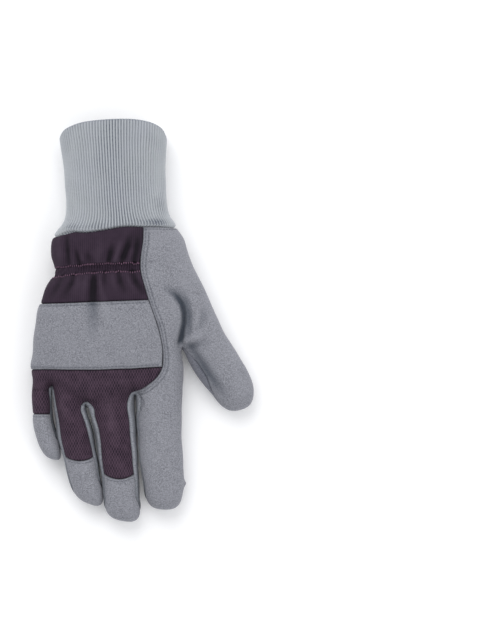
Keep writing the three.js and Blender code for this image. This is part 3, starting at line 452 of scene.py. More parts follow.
def edge_x(y: float, side: int) -> float:
    """The body's left (-1) or right (1) edge in plan."""
    return float(BODY.table.at("centre", -y) + side * BODY.table.at("half", -y))


def left_core(y: float) -> float:
    """Where the rays round the body's left edge start."""
    return edge_x(y, -1) + EDGE_CORE


def up(x: float, y: float) -> Array:
    """A ray straight up from the body's core."""
    return ray(x, y, CORE_HEIGHT, 0, 90)


def down(x: float, y: float) -> Array:
    """A ray straight down from the body's core."""
    return ray(x, y, CORE_HEIGHT, 0, -90)


def left_seam(y: float) -> Array:
    """The ray to the seam below the body's left edge."""
    return ray(left_core(y), y, CORE_HEIGHT, -90, LEFT_SEAM_LIFT)


def left_edge(y: float) -> Array:
    """The ray to the body's left edge."""
    return ray(left_core(y), y, CORE_HEIGHT, -90, EDGE_LIFT)


def finger_point(tube: Tube, s: float) -> tuple[float, float, float]:
    """A point on a finger's own line."""
    across, mid = float(tube.table.at("centre", s)), float(tube.table.at("mid", s))
    if tube.plan == 0:
        return across, -s, mid
    sin, cos = math.sin(tube.plan), math.cos(tube.plan)
    return THUMB_ROOT[0] + s * sin + across * cos, THUMB_ROOT[1] - s * cos + across * sin, mid


def finger_ray(tube: Tube, s: float, side: float, lift: float) -> Array:
    """A ray from a finger's line to its left (-1) or right (1)."""
    return ray(*finger_point(tube, s), side * 90 + math.degrees(tube.plan), lift)


def little_seam(side: int) -> float:
    """Lift of the little finger's left (-1) or right (1) seam, the same all along it."""
    return LITTLE.lift(side, LITTLE.end)


# For each row of a fingertip, how far it turns forward and how far its seams close
TIP_ROWS = ((0, 0), (0.28, 0.3), (0.56, 0.7), (0.8, 1), (1, 1))


def tip_heading(tube: Tube) -> float:
    """Heading of a fingertip: the tube's own line and the way its centre bends over the tip."""
    bend = tube.table.at("centre", tube.end + tube.tip) - tube.table.at("centre", tube.end)
    return math.degrees(tube.plan + math.atan2(bend, tube.tip))


def tip_ray(tube: Tube, step: int, side: int, lift: float) -> Array:
    """A ray of one row of a fingertip.

    Args:
        tube: The finger.
        step: Number of the row, from the finger towards its very end.
        side: -1 for the left seam, 0 for the middle and 1 for the right seam.
        lift: Rise of the seam's heading, or just its sign for the middle.

    Returns:
        The ray.
    """
    forward, close = TIP_ROWS[step]
    point = finger_point(tube, tube.end)
    heading = tip_heading(tube)
    if side == 0:
        return ray(*point, heading, math.copysign(90 * (1 - forward), lift))
    return ray(*point, heading + side * (90 - tube.tip_turn * forward), lift * (1 - close))


def finger_rows(tube: Tube, face: int, places: tuple[float, ...], inner: float | None = None) -> list:
    """Key rays of a finger's back (1) or palm (-1), from its root to its tip.

    Args:
        tube: The finger.
        face: 1 for the back and -1 for the palm.
        places: Distances along the finger.
        inner: Lift of the seams that aren't the back's own, or none.

    Returns:
        Three rays for each place and tip row: left seam, middle and right seam.
    """
    rows = []
    for s in (*places, *(tube.end,) * len(TIP_ROWS)):
        step = len(rows) - len(places)
        left, right = (tube.lift(side, s) if inner is None else inner for side in (-1, 1))
        if tube in (INDEX, THUMB):
            right = tube.lift(1, s)
        if tube is THUMB:
            left = tube.lift(-1, s)
        if step < 0:
            rows.append((finger_ray(tube, s, -1, left), finger_ray(tube, s, 1, face * 90),
                         finger_ray(tube, s, 1, right)))
        else:
            rows.append((tip_ray(tube, step, -1, left), tip_ray(tube, step, 0, face),
                         tip_ray(tube, step, 1, right)))
    return rows


PALM_SEAM = -42.0
PALM_WEB_LIFT = -48.0
BACK_WEB_LIFTS = {"ring_little": 56.0, "middle_ring": 76.0, "index_middle": 76.0}
WEB_HEIGHT = 13.5
WEB_CORE = 5.5
WALL_CORE = 6.0
WALL_DROP = -1.2
WALL_TURN = 72.0
WALL_ROW_DROP = 6


def web_ray(crotch: str, side: int, face: int) -> Array:
    """A ray of a crotch, at its seam with the back or the palm.

    Args:
        crotch: The crotch's name.
        side: 0 for its middle, -1 for the wall that faces left and 1 for the one that faces right.
        face: 1 for the back and -1 for the palm.

    Returns:
        The ray.
    """
    x, y = CROTCHES[crotch]
    lift = BACK_WEB_LIFTS[crotch] if face > 0 else PALM_WEB_LIFT
    if side == 0:
        return ray(x, y + WEB_CORE, WEB_HEIGHT, 0, lift)
    return ray(x - side * WALL_CORE, y - WALL_DROP, WEB_HEIGHT, side * WALL_TURN, lift)


LITTLE_EDGE_TURN = 62.0
NEIGHBOURS = {"ring": ("ring_little", "middle_ring"), "middle": ("middle_ring", "index_middle")}
BACK_STEPS = {"ring": 3, "middle": 4}


def root_rows(name: str, face: int) -> list[Array]:
    """The first two rows of the ring or middle finger, from one crotch to the next.

    Args:
        name: The finger.
        face: 1 for the back and -1 for the palm.

    Returns:
        The row through the crotches and the row over their walls.
    """
    left, right = NEIGHBOURS[name]
    steps = BACK_STEPS[name]
    middle = -(CROTCHES[left][1] + CROTCHES[right][1]) / 2
    rows = []
    for side, drop in ((0, 1), (1, WALL_ROW_DROP)):
        top = finger_ray(FINGERS[name], middle + drop, 1, face * 90)
        start, stop = web_ray(left, -side, face), web_ray(right, side, face)
        rows.append(row(start, (steps, top), (steps, stop)))
    return rows


CAP_SEAMS = {"ring": (1.9, 2.7), "middle": (2.7, 2.1)}


def cap_seam(name: str) -> Array:
    """The row of rays along the seam of a cap, which sags in the middle and towards the right."""
    line = column_rows(name, FINGERS[name].shaft[-1:])[0]
    share = np.linspace(0, 1, len(line))
    sag, tilt = CAP_SEAMS[name]
    line[:, 1] -= sag * np.sin(math.pi * share) + tilt * share * (1 - share) * 2
    return line


def column_rows(name: str, places: tuple[float, ...]) -> list[Array]:
    """Rows of the back of a ring or middle finger at the given places."""
    tube, steps = FINGERS[name], BACK_STEPS[name]
    return [
        row(finger_ray(tube, s, -1, tube.lift(-1, s)), (steps, finger_ray(tube, s, 1, 90)),
            (steps, finger_ray(tube, s, 1, tube.lift(1, s))))
        for s in places
    ]


def tip_rows(name: str, face: int, places: tuple[float, ...]) -> list[Array]:
    """Rows of a ring or middle finger from the given places over its tip."""
    steps = BACK_STEPS[name]
    keys = finger_rows(FINGERS[name], face, places, None if face > 0 else PALM_SEAM)
    return [row(a, (steps, b), (steps, c)) for a, b, c in keys]


# Relief of the cloth


@dataclass(frozen=True)
class Fold:
    """A crease or ridge: rows of x, y, width and height, which is under zero in a crease."""

    rows: tuple[tuple[float, float, float, float], ...]

    def at(self, x: Array, y: Array) -> Array:
        """Height of the fold over the plain cloth.

        Args:
            x: Places of the points.
            y: Places of the points.

        Returns:
            One height for each point.
        """
        best = np.full(len(x), np.inf)
        height = np.zeros(len(x))
        for (x0, y0, w0, h0), (x1, y1, w1, h1) in zip(self.rows, self.rows[1:]):
            dx, dy = x1 - x0, y1 - y0
            t = np.clip(((x - x0) * dx + (y - y0) * dy) / (dx * dx + dy * dy), 0, 1)
            gap = np.hypot(x - x0 - t * dx, y - y0 - t * dy)
            closer = gap < best
            value = (h0 + (h1 - h0) * t) * np.exp(-((gap / (w0 + (w1 - w0) * t)) ** 2))
            best = np.where(closer, gap, best)
            height = np.where(closer, value, height)
        return height


# Round the root of the thumb
THUMB_FOLDS = (
    Fold(((41, 33, 3.4, -0.2), (46.5, 28.6, 2.6, -1.0), (51.6, 24.6, 2.2, -2.0), (55.2, 19.0, 1.8, -3.0),
          (56.8, 12.5, 1.6, -3.8), (56.6, 5.3, 1.6, -4.2), (55.2, -1, 1.7, -4.2), (54.4, -9.5, 1.8, -3.4))),
    Fold(((47, 31, 4.5, -0.3), (54, 26, 4.6, -1.2), (59, 19, 4.4, -2.1), (61.0, 11, 4.2, -2.4),
          (60.6, 3, 4.0, -2.2), (59.5, -5, 3.2, -1.3))),
    Fold(((43, 25, 3, 0.0), (47, 18, 3, 0.9), (50.5, 8, 3, 0.8), (50.5, 0, 3, 0.2))),
    Fold(((60, -12, 3, -0.5), (64.5, -18, 3.4, -1.1), (70, -26, 3.8, -1.3), (76, -35.5, 3.8, -1.3),
          (81, -43, 3.8, -0.9), (86, -49, 3.5, -0.2))),
    Fold(((80, 0, 5, 0.2), (86, -9, 5.5, 0.6), (92, -24, 6, 0.9), (96.5, -38, 6, 0.9), (98, -48, 5, 0.5))),
    Fold(((62, 28, 4, 0.0), (65, 18, 3.6, 0.9), (65.5, 9, 3.0, 1.2), (64, 2, 3, 0.7))),
    Fold(((68, 24, 4, 0.0), (71.5, 11, 4, -1.0), (69, 3, 4, -0.9), (65, -1, 3, -0.2))),
    Fold(((56.5, -9, 2.0, 0.8), (63.0, -6.4, 2.6, 1.7), (72, -2.2, 3.6, 0.4))),
    Fold(((57.5, -13, 2.6, -0.9), (63.5, -11.2, 3.6, -1.6), (73, -9.0, 4.8, -0.7))),
    Fold(((62, -16, 5, -0.8), (72, -30, 7, -1.1), (83, -45, 7, -0.9), (91, -55, 6, -0.2))),
)

# Above the elastic
UPPER_GATHERS = (
    Fold(((24.5, 72, 3, -0.6), (22.5, 62, 3, -1.9), (20.5, 50, 2.4, -1.6))),
    Fold(((20, 64, 2.2, 0.3), (18, 56, 2.2, 1.1), (16.5, 50, 2, 0.8))),
    Fold(((18, 70, 3, -0.5), (15.8, 62, 2.8, -2.1), (12.3, 53, 2.4, -2.4), (11, 49, 2, -0.8))),
    Fold(((11.5, 67, 3, 0.3), (9.3, 60.5, 2.8, 1.6), (6.4, 52, 2.2, 1.5), (6, 49, 2, 0.5))),
    Fold(((5.5, 65, 2.6, -0.2), (3.2, 57, 2.3, -1.9), (1.7, 51, 2, -2.0), (1.6, 49, 2, -0.6))),
    Fold(((-5, 66, 4, 0.4), (-6, 58, 4, 1.0), (-6, 51, 3.2, 1.1))),
    Fold(((-14.5, 60, 2.4, -0.2), (-13.6, 54, 2.2, -1.1), (-12.6, 49, 2, -0.7))),
    Fold(((-18.5, 60, 2.6, 0.3), (-17.5, 52, 2.2, 1.1))),
    Fold(((-24.3, 63, 2.4, -0.3), (-22.6, 56, 2.2, -1.6), (-20.5, 49.5, 2, -1.6))),
    Fold(((-26.3, 66, 2.4, 0.4), (-25.2, 56, 2.3, 1.4), (-24.4, 49, 2, 1.0))),
    Fold(((-29.6, 68, 2.6, -1.2), (-28.9, 58, 2.4, -2.0), (-28, 49, 2, -1.3))),
    Fold(((-34.5, 66, 3, 0.8), (-33.8, 56, 3, 1.2), (-32.6, 47, 2.2, 0.7))),
)

# Below the elastic, the middle one running on down the strap
LOWER_GATHERS = (
    Fold(((-9.3, 42, 1.8, -0.9), (-9.5, 36, 2.6, -2.7), (-10, 27, 3.2, -2.4), (-10, 20.5, 4.6, -1.8),
          (-9.2, 8, 5.4, -1.3), (-9.3, -4, 6.5, -0.5))),
    Fold(((-14.5, 41.5, 2, 0.5), (-15.6, 34, 3, 1.4), (-17, 24, 4, 0.8))),
    Fold(((-4.6, 42, 2, 0.6), (-4, 34, 2.6, 1.5), (-3, 24, 3.6, 1.3), (-1.2, 12, 4, 1.2), (-1, -2, 6, 0.4))),
    Fold(((-1.4, 42.5, 1.6, -0.9), (-1.8, 36, 2, -1.3), (-1.4, 30, 2.6, -0.4))),
    Fold(((8.4, 43, 1.8, -1.0), (10, 36, 2.2, -1.6), (13.4, 28, 3, -0.5))),
    Fold(((4, 43, 1.8, 0.5), (5.2, 35, 2.6, 1.0), (8.4, 27, 3.4, 0.4))),
    Fold(((-24, 41, 1.8, -0.9), (-26.4, 34, 2.4, -1.5), (-31.5, 25, 3.2, -0.6))),
    Fold(((-20, 41.5, 2, 0.5), (-21.6, 33, 2.8, 1.2), (-24.4, 24, 3.6, 0.5))),
    Fold(((-33, 40, 1.8, -0.7), (-36.4, 33, 2.4, -1.2), (-42, 24, 3, -0.4))),
    Fold(((18.8, 43.5, 1.8, -0.9), (21.4, 36, 2.2, -1.7), (26.4, 28, 3, -0.8))),
    Fold(((14.4, 43.5, 1.8, 0.5), (16.5, 36, 2.2, 1.1), (20.4, 28, 3, 0.4))),
)

# Over the finger roots and the fingers: soft hollows beside the slots and slack in the tips
FINGER_FOLDS = (
    Fold(((-43, -38, 3, -0.3), (-44.5, -46, 2.4, -1.0))),
    Fold(((-34, -46, 4, 0.6), (-33, -58, 4, 0.8), (-30, -70, 4, 0.2))),
    Fold(((-17, -46, 3.4, -0.4), (-15.5, -53, 2.6, -0.8))),
    Fold(((0, -50, 5, 0.6), (3, -66, 5, 0.9), (7, -84, 5, 0.3))),
    Fold(((17, -40, 4, -0.3), (19.5, -46, 3, -0.7))),
    Fold(((34, -48, 5, 0.5), (38, -64, 5, 0.6), (40, -84, 5, 0.2))),
    Fold(((28, -92, 4, -0.4), (33, -99, 4, -0.2))),
)


@dataclass(frozen=True)
class Relief:
    """What stands over and under the plain skin: folds, the elastic's band and slow waves."""

    folds: tuple[Fold, ...] = THUMB_FOLDS + UPPER_GATHERS + LOWER_GATHERS + FINGER_FOLDS
    fade_height: float = 10.0
    elastic_depth: float = 1.7
    elastic_spread: float = 3.8
    elastic_right: float = 25.5
    shirr_pitch: float = 2.0
    shirr_height: float = 0.7
    wave_height: float = 0.16
    waves: int = 9
    seed: int = 11

    @cached_property
    def wave_table(self) -> Array:
        """Rows of three wave numbers and a phase."""
        draw = np.random.default_rng(self.seed)
        heading = draw.normal(size=(self.waves, 3))
        heading /= np.linalg.norm(heading, axis=1, keepdims=True)
        length = draw.uniform(16, 42, size=(self.waves, 1))
        return np.hstack([heading * 2 * math.pi / length, draw.uniform(0, 2 * math.pi, (self.waves, 1))])

    def fold_height(self, points: Array) -> Array:
        """Height of the folds alone at points of the skin."""
        x, y, z = points.T
        height = sum((fold.at(x, y) for fold in self.folds), np.zeros(len(x)))
        return height * np.clip((z - CORE_HEIGHT) / self.fade_height, 0, 1)

    def at(self, points: Array) -> Array:
        """Height of the relief at points of the skin."""
        height = self.fold_height(points)
        waves = sum(np.sin(points @ wave[:3] + wave[3]) for wave in self.wave_table)
        return height + waves * self.wave_height

    def elastic_fade(self, points: Array) -> Array:
        """Share of the elastic's pull, which ends at the forefinger seam and below the edge."""
        x, _, z = points.T
        return np.clip((self.elastic_right - x) / 5, 0, 1) * np.clip(z / CORE_HEIGHT, 0, 1)

    def elastic(self, points: Array) -> Array:
        """The sunk band of the elastic."""
        x, y, _ = points.T
        off = (y - (ELASTIC_TOP.at("y", x) + ELASTIC_BOTTOM.at("y", x)) / 2) / self.elastic_spread
        return -self.elastic_depth * np.exp(-(off ** 2)) * self.elastic_fade(points)

    def shirring(self, points: Array) -> Array:
        """Fine upright ribs over the elastic and a small welt above and below it."""
        x, y, _ = points.T
        top, bottom = ELASTIC_TOP.at("y", x), ELASTIC_BOTTOM.at("y", x)
        band = np.clip(np.minimum(top - y, y - bottom) / 1.2 + 0.5, 0, 1)
        ribs = self.shirr_height * band * np.cos(2 * math.pi * x / self.shirr_pitch)
        welt = 0.35 * (np.exp(-((y - top - 1.3) / 0.9) ** 2) + np.exp(-((y - bottom + 1.3) / 0.9) ** 2))
        return (ribs + welt) * self.elastic_fade(points)


# Finishes


class Shader:
    """Builds the node tree of one material."""

    def __init__(self, name: str) -> None:
        """Starts an empty tree with its output and its main shader."""
        self.material = bpy.data.materials.new(name)
        self.material.use_nodes = True
        self.tree = self.material.node_tree
        self.tree.nodes.clear()
        self.main = self.add("ShaderNodeBsdfPrincipled")
        output = self.add("ShaderNodeOutputMaterial")
        self.tree.links.new(self.main.outputs[0], output.inputs["Surface"])

    def add(self, kind: str, inputs: dict | None = None, **settings: object) -> bpy.types.Node:
        """Adds a node.

        Args:
            kind: The node's type.
            inputs: Values, or sockets to link from, by input name or number.
            **settings: The node's own properties.

        Returns:
            The node.
        """
        node = self.tree.nodes.new(kind)
        for name, value in settings.items():
            setattr(node, name, value)
        for name, value in (inputs or {}).items():
            if isinstance(value, bpy.types.NodeSocket):
                self.tree.links.new(value, node.inputs[name])
            else:
                node.inputs[name].default_value = value
        return node

    def math(self, operation: str, *values: object) -> bpy.types.NodeSocket:
        """The result of a sum on sockets and numbers."""
        return self.add("ShaderNodeMath", dict(enumerate(values)), operation=operation).outputs[0]

    def noise(self, place: bpy.types.NodeSocket, size: float, detail: float = 2.0) -> bpy.types.NodeSocket:
        """Noise whose cells are size millimetres wide."""
        inputs = {"Vector": place, "Scale": 1 / (size * MM), "Detail": detail, "Roughness": 0.6}
        return self.add("ShaderNodeTexNoise", inputs).outputs["Fac"]

    def spread(self, value: bpy.types.NodeSocket, low: float, high: float) -> bpy.types.NodeSocket:
        """A value taken from a span to 0 to 1."""
        inputs = {"Value": value, "From Min": low, "From Max": high}
        return self.add("ShaderNodeMapRange", inputs).outputs[0]

    def mix(self, share: object, a: object, b: object) -> bpy.types.NodeSocket:
        """A colour between two others."""
        node = self.add("ShaderNodeMix", data_type="RGBA")
        for socket, value in ((node.inputs[0], share), (node.inputs[6], a), (node.inputs[7], b)):
            if isinstance(value, bpy.types.NodeSocket):
                self.tree.links.new(value, socket)
            else:
                socket.default_value = value
        return node.outputs[2]

    def place(self) -> bpy.types.NodeSocket:
        """Object coordinates."""
        return self.add("ShaderNodeTexCoord").outputs["Object"]

    def level(self, place: bpy.types.NodeSocket) -> bpy.types.NodeSocket:
        """The height of a place."""
        return self.add("ShaderNodeSeparateXYZ", {0: place}).outputs[2]

    def cloth(self) -> tuple[bpy.types.NodeSocket, ...]:
        """The cloth's own coordinates: across, along and the distance to its border, in millimetres."""
        attribute = self.add("ShaderNodeAttribute", attribute_name="cloth")
        parts = self.add("ShaderNodeSeparateXYZ", {0: attribute.outputs["Vector"]})
        return tuple(parts.outputs)

    def paint_fold_shade(self, colour: bpy.types.NodeSocket, dark: tuple[float, ...], light: tuple[float, ...],
                depth: float) -> bpy.types.NodeSocket:
        """Paints shade down in the folds and along the stitch rows, and a highlight on the folds' crests.

        Args:
            colour: The plain colour.
            dark: Colour of the painted shade at the bottom of a fold.
            light: Colour of the painted highlight on a crest.
            depth: Depth in millimetres at which a fold's painted shade is full.

        Returns:
            The colour with its painted shade and highlight.
        """
        fold = self.add("ShaderNodeAttribute", attribute_name="crease").outputs["Fac"]
        # Painted shade where the crease layer is below zero, painted highlight where it is above.
        sunk = self.math("MULTIPLY", self.spread(fold, -0.15, -depth), 0.85)
        raised = self.math("MULTIPLY", self.spread(fold, 0.2, 2.2), 0.5)
        return self.mix(raised, self.mix(sunk, colour, dark), light)

    def finish(self, colour: bpy.types.NodeSocket, height: bpy.types.NodeSocket, depth: float,
               roughness: float, sheen: float, tint: tuple[float, ...]) -> bpy.types.Material:
        """Links the colour and the bump and sets the sheen.

        Args:
            colour: The base colour.
            height: The bump's height, from 0 to 1.
            depth: The bump's depth in millimetres.
            roughness: Roughness all over.
            sheen: Weight of the sheen.
            tint: Colour of the sheen.

        Returns:
            The finished material.
        """
        bump = self.add("ShaderNodeBump", {"Height": height, "Distance": depth * MM, "Strength": 1.0})
        self.tree.links.new(colour, self.main.inputs["Base Color"])
        self.tree.links.new(bump.outputs[0], self.main.inputs["Normal"])
        self.main.inputs["Roughness"].default_value = roughness
        self.main.inputs["Specular IOR Level"].default_value = 0.2
        self.main.inputs["Sheen Weight"].default_value = sheen
        self.main.inputs["Sheen Roughness"].default_value = 0.55
        self.main.inputs["Sheen Tint"].default_value = tint
        return self.material


def srgb(red: float, green: float, blue: float) -> tuple[float, float, float, float]:
    """A colour of 0 to 255 as linear light."""
    def linear(value: float) -> float:
        """One channel as linear light."""
        share = value / 255
        return share / 12.92 if share <= 0.04045 else ((share + 0.055) / 1.055) ** 2.4
    return linear(red), linear(green), linear(blue), 1.0


# Heights in metres from which the painted shade in the finger slots and the painted sheen low on the cuff's
# sides start, and at which they are full
SLOT_SHADE_LEVELS = (0.0215, 0.0145)
CUFF_SIDE_SHEEN_LEVELS = (0.038, 0.018)


@dataclass(frozen=True)
class Suede:
    """Brushed synthetic suede: a heathered nap, with painted shade down in the seams and folds and a painted
    highlight on the folds' crests.
    """

    name: str
    slot: str
    colour: tuple[float, float, float]
    heather: float = 27.0
    patch: float = 12.0
    weave: float = 0.8
    # Share of the painted shade towards the panel's border, down in the seam
    edge: float = 0.5
    slot_shade: float = 0.0

    def tone(self, change: float) -> tuple[float, float, float, float]:
        """The colour made lighter or darker."""
        return srgb(*(channel + change for channel in self.colour))

    def make(self) -> bpy.types.Material:
        """The material."""
        shader = Shader(self.name)
        place = shader.place()
        across, along, border = shader.cloth()
        fibre = shader.noise(place, 0.9, 3)
        nap = shader.noise(place, 3.2, 2)
        brushed = shader.noise(place, 17, 2)
        fine = shader.spread(fibre, 0.36, 0.64)
        colour = shader.mix(fine, self.tone(-self.heather), self.tone(self.heather))
        worn = shader.spread(shader.math("ADD", shader.math("MULTIPLY", nap, 0.6),
                                         shader.math("MULTIPLY", brushed, 0.6)), 0.45, 0.75)
        colour = shader.mix(shader.math("MULTIPLY", worn, 0.5), colour, self.tone(self.patch))
        turn = 2 * math.pi / self.weave
        threads = [shader.math("SINE", shader.math("MULTIPLY", way, turn)) for way in (across, along)]
        weave = shader.math("MULTIPLY_ADD", shader.math("MULTIPLY", *threads), 0.5, 0.5)
        colour = shader.mix(shader.math("MULTIPLY", weave, 0.22), colour, self.tone(-26))
        # Painted shade: darker towards the panel's border, down in the seam.
        edge = shader.spread(border, 0.9, 0.1)
        colour = shader.mix(shader.math("MULTIPLY", edge, self.edge), colour, self.tone(-48))
        # Painted shade in the folds and along the stitch rows, painted highlight on the crests.
        colour = shader.paint_fold_shade(colour, srgb(40, 50, 62), self.tone(20), 2.9)
        if self.slot_shade:
            deep = shader.spread(shader.level(place), *SLOT_SHADE_LEVELS)
            colour = shader.mix(shader.math("MULTIPLY", deep, self.slot_shade), colour, srgb(30, 38, 48))
        height = shader.math("ADD", shader.math("MULTIPLY", fibre, 0.7), shader.math("MULTIPLY", nap, 0.4))
        height = shader.math("ADD", height, shader.math("MULTIPLY", weave, 0.25))
        return shader.finish(colour, height, 0.3, 0.94, 0.34, self.tone(60))


@dataclass(frozen=True)
class PlumMesh:
    """Plum warp knit: a lattice of tall diamonds, or plain upright wales where it is gathered."""

    name: str
    slot: str
    yarn: tuple[float, float, float]
    hole: tuple[float, float, float]
    width: float = 2.0
    height: float = 4.1
    lattice: float = 1.0
    wale: float = 0.85
    wale_tone: float = 0.4

    def make(self) -> bpy.types.Material:
        """The material."""
        shader = Shader(self.name)
        across, along, border = shader.cloth()
        place = shader.place()
        wobble = shader.math("MULTIPLY", shader.spread(shader.noise(place, 2.4), 0.3, 0.7), 0.16)
        u = shader.math("ADD", shader.math("DIVIDE", across, self.width), wobble)
        v = shader.math("DIVIDE", along, self.height)
        waves = []
        for operation in ("ADD", "SUBTRACT"):
            turn = shader.math("MULTIPLY", shader.math(operation, u, v), math.pi)
            waves.append(shader.math("ABSOLUTE", shader.math("SINE", turn)))
        cell = shader.math("MULTIPLY", shader.math("MULTIPLY", *waves), self.lattice)
        wale = shader.math("SINE", shader.math("MULTIPLY", across, 2 * math.pi / self.wale))
        course = shader.math("SINE", shader.math("MULTIPLY", along, 2 * math.pi / 0.9))
        stitch = shader.math("MULTIPLY_ADD", shader.math("MULTIPLY", wale, course), 0.25, 0.5)
        colour = shader.mix(shader.spread(cell, 0.12, 0.55), srgb(*self.yarn), srgb(*self.hole))
        wales = shader.spread(wale, -1.0, 1.0)
        colour = shader.mix(shader.math("MULTIPLY", wales, self.wale_tone), colour, srgb(*self.hole))
        slub = shader.spread(shader.noise(place, 6, 2), 0.35, 0.7)
        lighter = srgb(*(channel + 9 for channel in self.yarn))
        colour = shader.mix(shader.math("MULTIPLY", slub, 0.35), colour, lighter)
        # Painted shade: darker towards the panel's border, down in the seam.
        edge = shader.spread(border, 1.1, 0.1)
        colour = shader.mix(shader.math("MULTIPLY", edge, 0.5), colour, srgb(20, 18, 27))
        # Painted shade in the folds and along the stitch rows, with the lit colour as a painted highlight on
        # the crests.
        lit = srgb(*(channel + 26 for channel in self.yarn))
        colour = shader.paint_fold_shade(colour, srgb(13, 10, 17), lit, 1.7)
        sunk = shader.math("MULTIPLY", shader.math("SUBTRACT", 1.0, shader.spread(cell, 0.05, 0.6)), 0.8)
        height = shader.math("ADD", sunk, shader.math("MULTIPLY", stitch, 0.5))
        return shader.finish(colour, height, 0.30, 0.85, 0.1, srgb(120, 104, 122))


@dataclass(frozen=True)
class RibKnit:
    """Grey rib knit: light ribs, grooves in painted shade, a painted sheen low on its sides and fine stitches
    down each rib.
    """

    name: str
    slot: str
    rib: tuple[float, float, float] = (172, 176, 180)
    # The groove colours are painted shade between the ribs, deeper low on the cuff's sides.
    groove_shade: tuple[float, float, float] = (74, 80, 95)
    # Ribs low on the sides: a painted sheen of grazing light, partly the stretched knit's own lightness.
    side_rib_sheen: tuple[float, float, float] = (204, 207, 209)
    side_groove_shade: tuple[float, float, float] = (66, 72, 86)
    stitch_pitch: float = 1.05

    def make(self) -> bpy.types.Material:
        """The material."""
        shader = Shader(self.name)
        phase, along, border = shader.cloth()
        place = shader.place()
        across = shader.math("ABSOLUTE", shader.math("COSINE", shader.math("MULTIPLY", phase, math.pi)))
        course = shader.math("MULTIPLY", along, 2 * math.pi / self.stitch_pitch)
        slant = shader.math("MULTIPLY", across, 2.2)
        stitch = shader.math("MULTIPLY_ADD", shader.math("SINE", shader.math("ADD", course, slant)), 0.5, 0.5)
        # Low on the cuff's sides: a painted sheen on the ribs, partly the stretched knit, and deeper painted
        # shade in the grooves.
        low = shader.spread(shader.level(place), *CUFF_SIDE_SHEEN_LEVELS)
        side = shader.math("MULTIPLY", low, 0.85)
        groove_shade = shader.mix(side, srgb(*self.groove_shade), srgb(*self.side_groove_shade))
        rib = shader.mix(side, srgb(*self.rib), srgb(*self.side_rib_sheen))
        # Painted shade in the grooves between the ribs.
        colour = shader.mix(shader.spread(across, 0.15, 0.8), groove_shade, rib)
        yarn = shader.spread(shader.noise(place, 1.3, 3), 0.35, 0.65)
        lighter = srgb(*(channel + 10 for channel in self.rib))
        colour = shader.mix(shader.math("MULTIPLY", yarn, 0.35), colour, lighter)
        colour = shader.mix(shader.math("MULTIPLY", stitch, 0.14), colour, srgb(*self.groove_shade))
        patch = shader.spread(shader.noise(place, 22, 2), 0.35, 0.65)
        colour = shader.mix(shader.math("MULTIPLY", patch, 0.18), colour, srgb(168, 170, 182))
        # Painted shade: darker towards the cuff's borders, at the tucked foot and the turned rim.
        edge = shader.spread(border, 1.6, 0.2)
        colour = shader.mix(shader.math("MULTIPLY", edge, 0.5), colour, srgb(96, 102, 116))
        height = shader.math("ADD", shader.math("MULTIPLY", stitch, 0.6), shader.math("MULTIPLY", yarn, 0.4))
        return shader.finish(colour, height, 0.22, 0.95, 0.3, srgb(215, 222, 228))


@dataclass(frozen=True)
class Thread:
    """Twisted sewing thread."""

    name: str
    slot: str
    colour: tuple[float, float, float]

    def make(self) -> bpy.types.Material:
        """The material."""
        shader = Shader(self.name)
        place = shader.place()
        ply = shader.noise(place, 0.35, 2)
        darker = srgb(*(channel - 26 for channel in self.colour))
        colour = shader.mix(shader.spread(ply, 0.35, 0.65), darker, srgb(*self.colour))
        return shader.finish(colour, ply, 0.06, 0.6, 0.1, srgb(200, 200, 205))


@dataclass(frozen=True)
class PaleFloor:
    """Plain pale paper under the glove."""

    name: str = "pale_floor"
    glow: float = 0.06

    def make(self) -> bpy.types.Material:
        """The material."""
        shader = Shader(self.name)
        grain = shader.noise(shader.place(), 3, 2)
        colour = shader.mix(grain, srgb(249, 249, 250), srgb(251, 251, 251))
        shader.main.inputs["Emission Color"].default_value = srgb(255, 255, 255)
        shader.main.inputs["Emission Strength"].default_value = self.glow
        return shader.finish(colour, grain, 0.01, 0.95, 0.0, srgb(255, 255, 255))


# Panels and stitches


def nearest_gaps(points: Array, others: Array) -> Array:
    """Distance from each point to the nearest of some others.

    Args:
        points: The points.
        others: The points to measure to.

    Returns:
        One distance for each of the first points.
    """
    tree = KDTree(len(others))
    for index, other in enumerate(others):
        tree.insert(other, index)
    tree.balance()
    return np.array([tree.find(point)[2] for point in points])


@dataclass(frozen=True)
class StitchRow:
    """A row of stitches along a border of one of a panel's grids, or along one of its own rows."""

    grid: int
    side: Side
    inset: float
    start: float = 0.0
    stop: float = 1.0
    dip: float = 0.4
    thread: str = "grey"
    along_row: int = -1


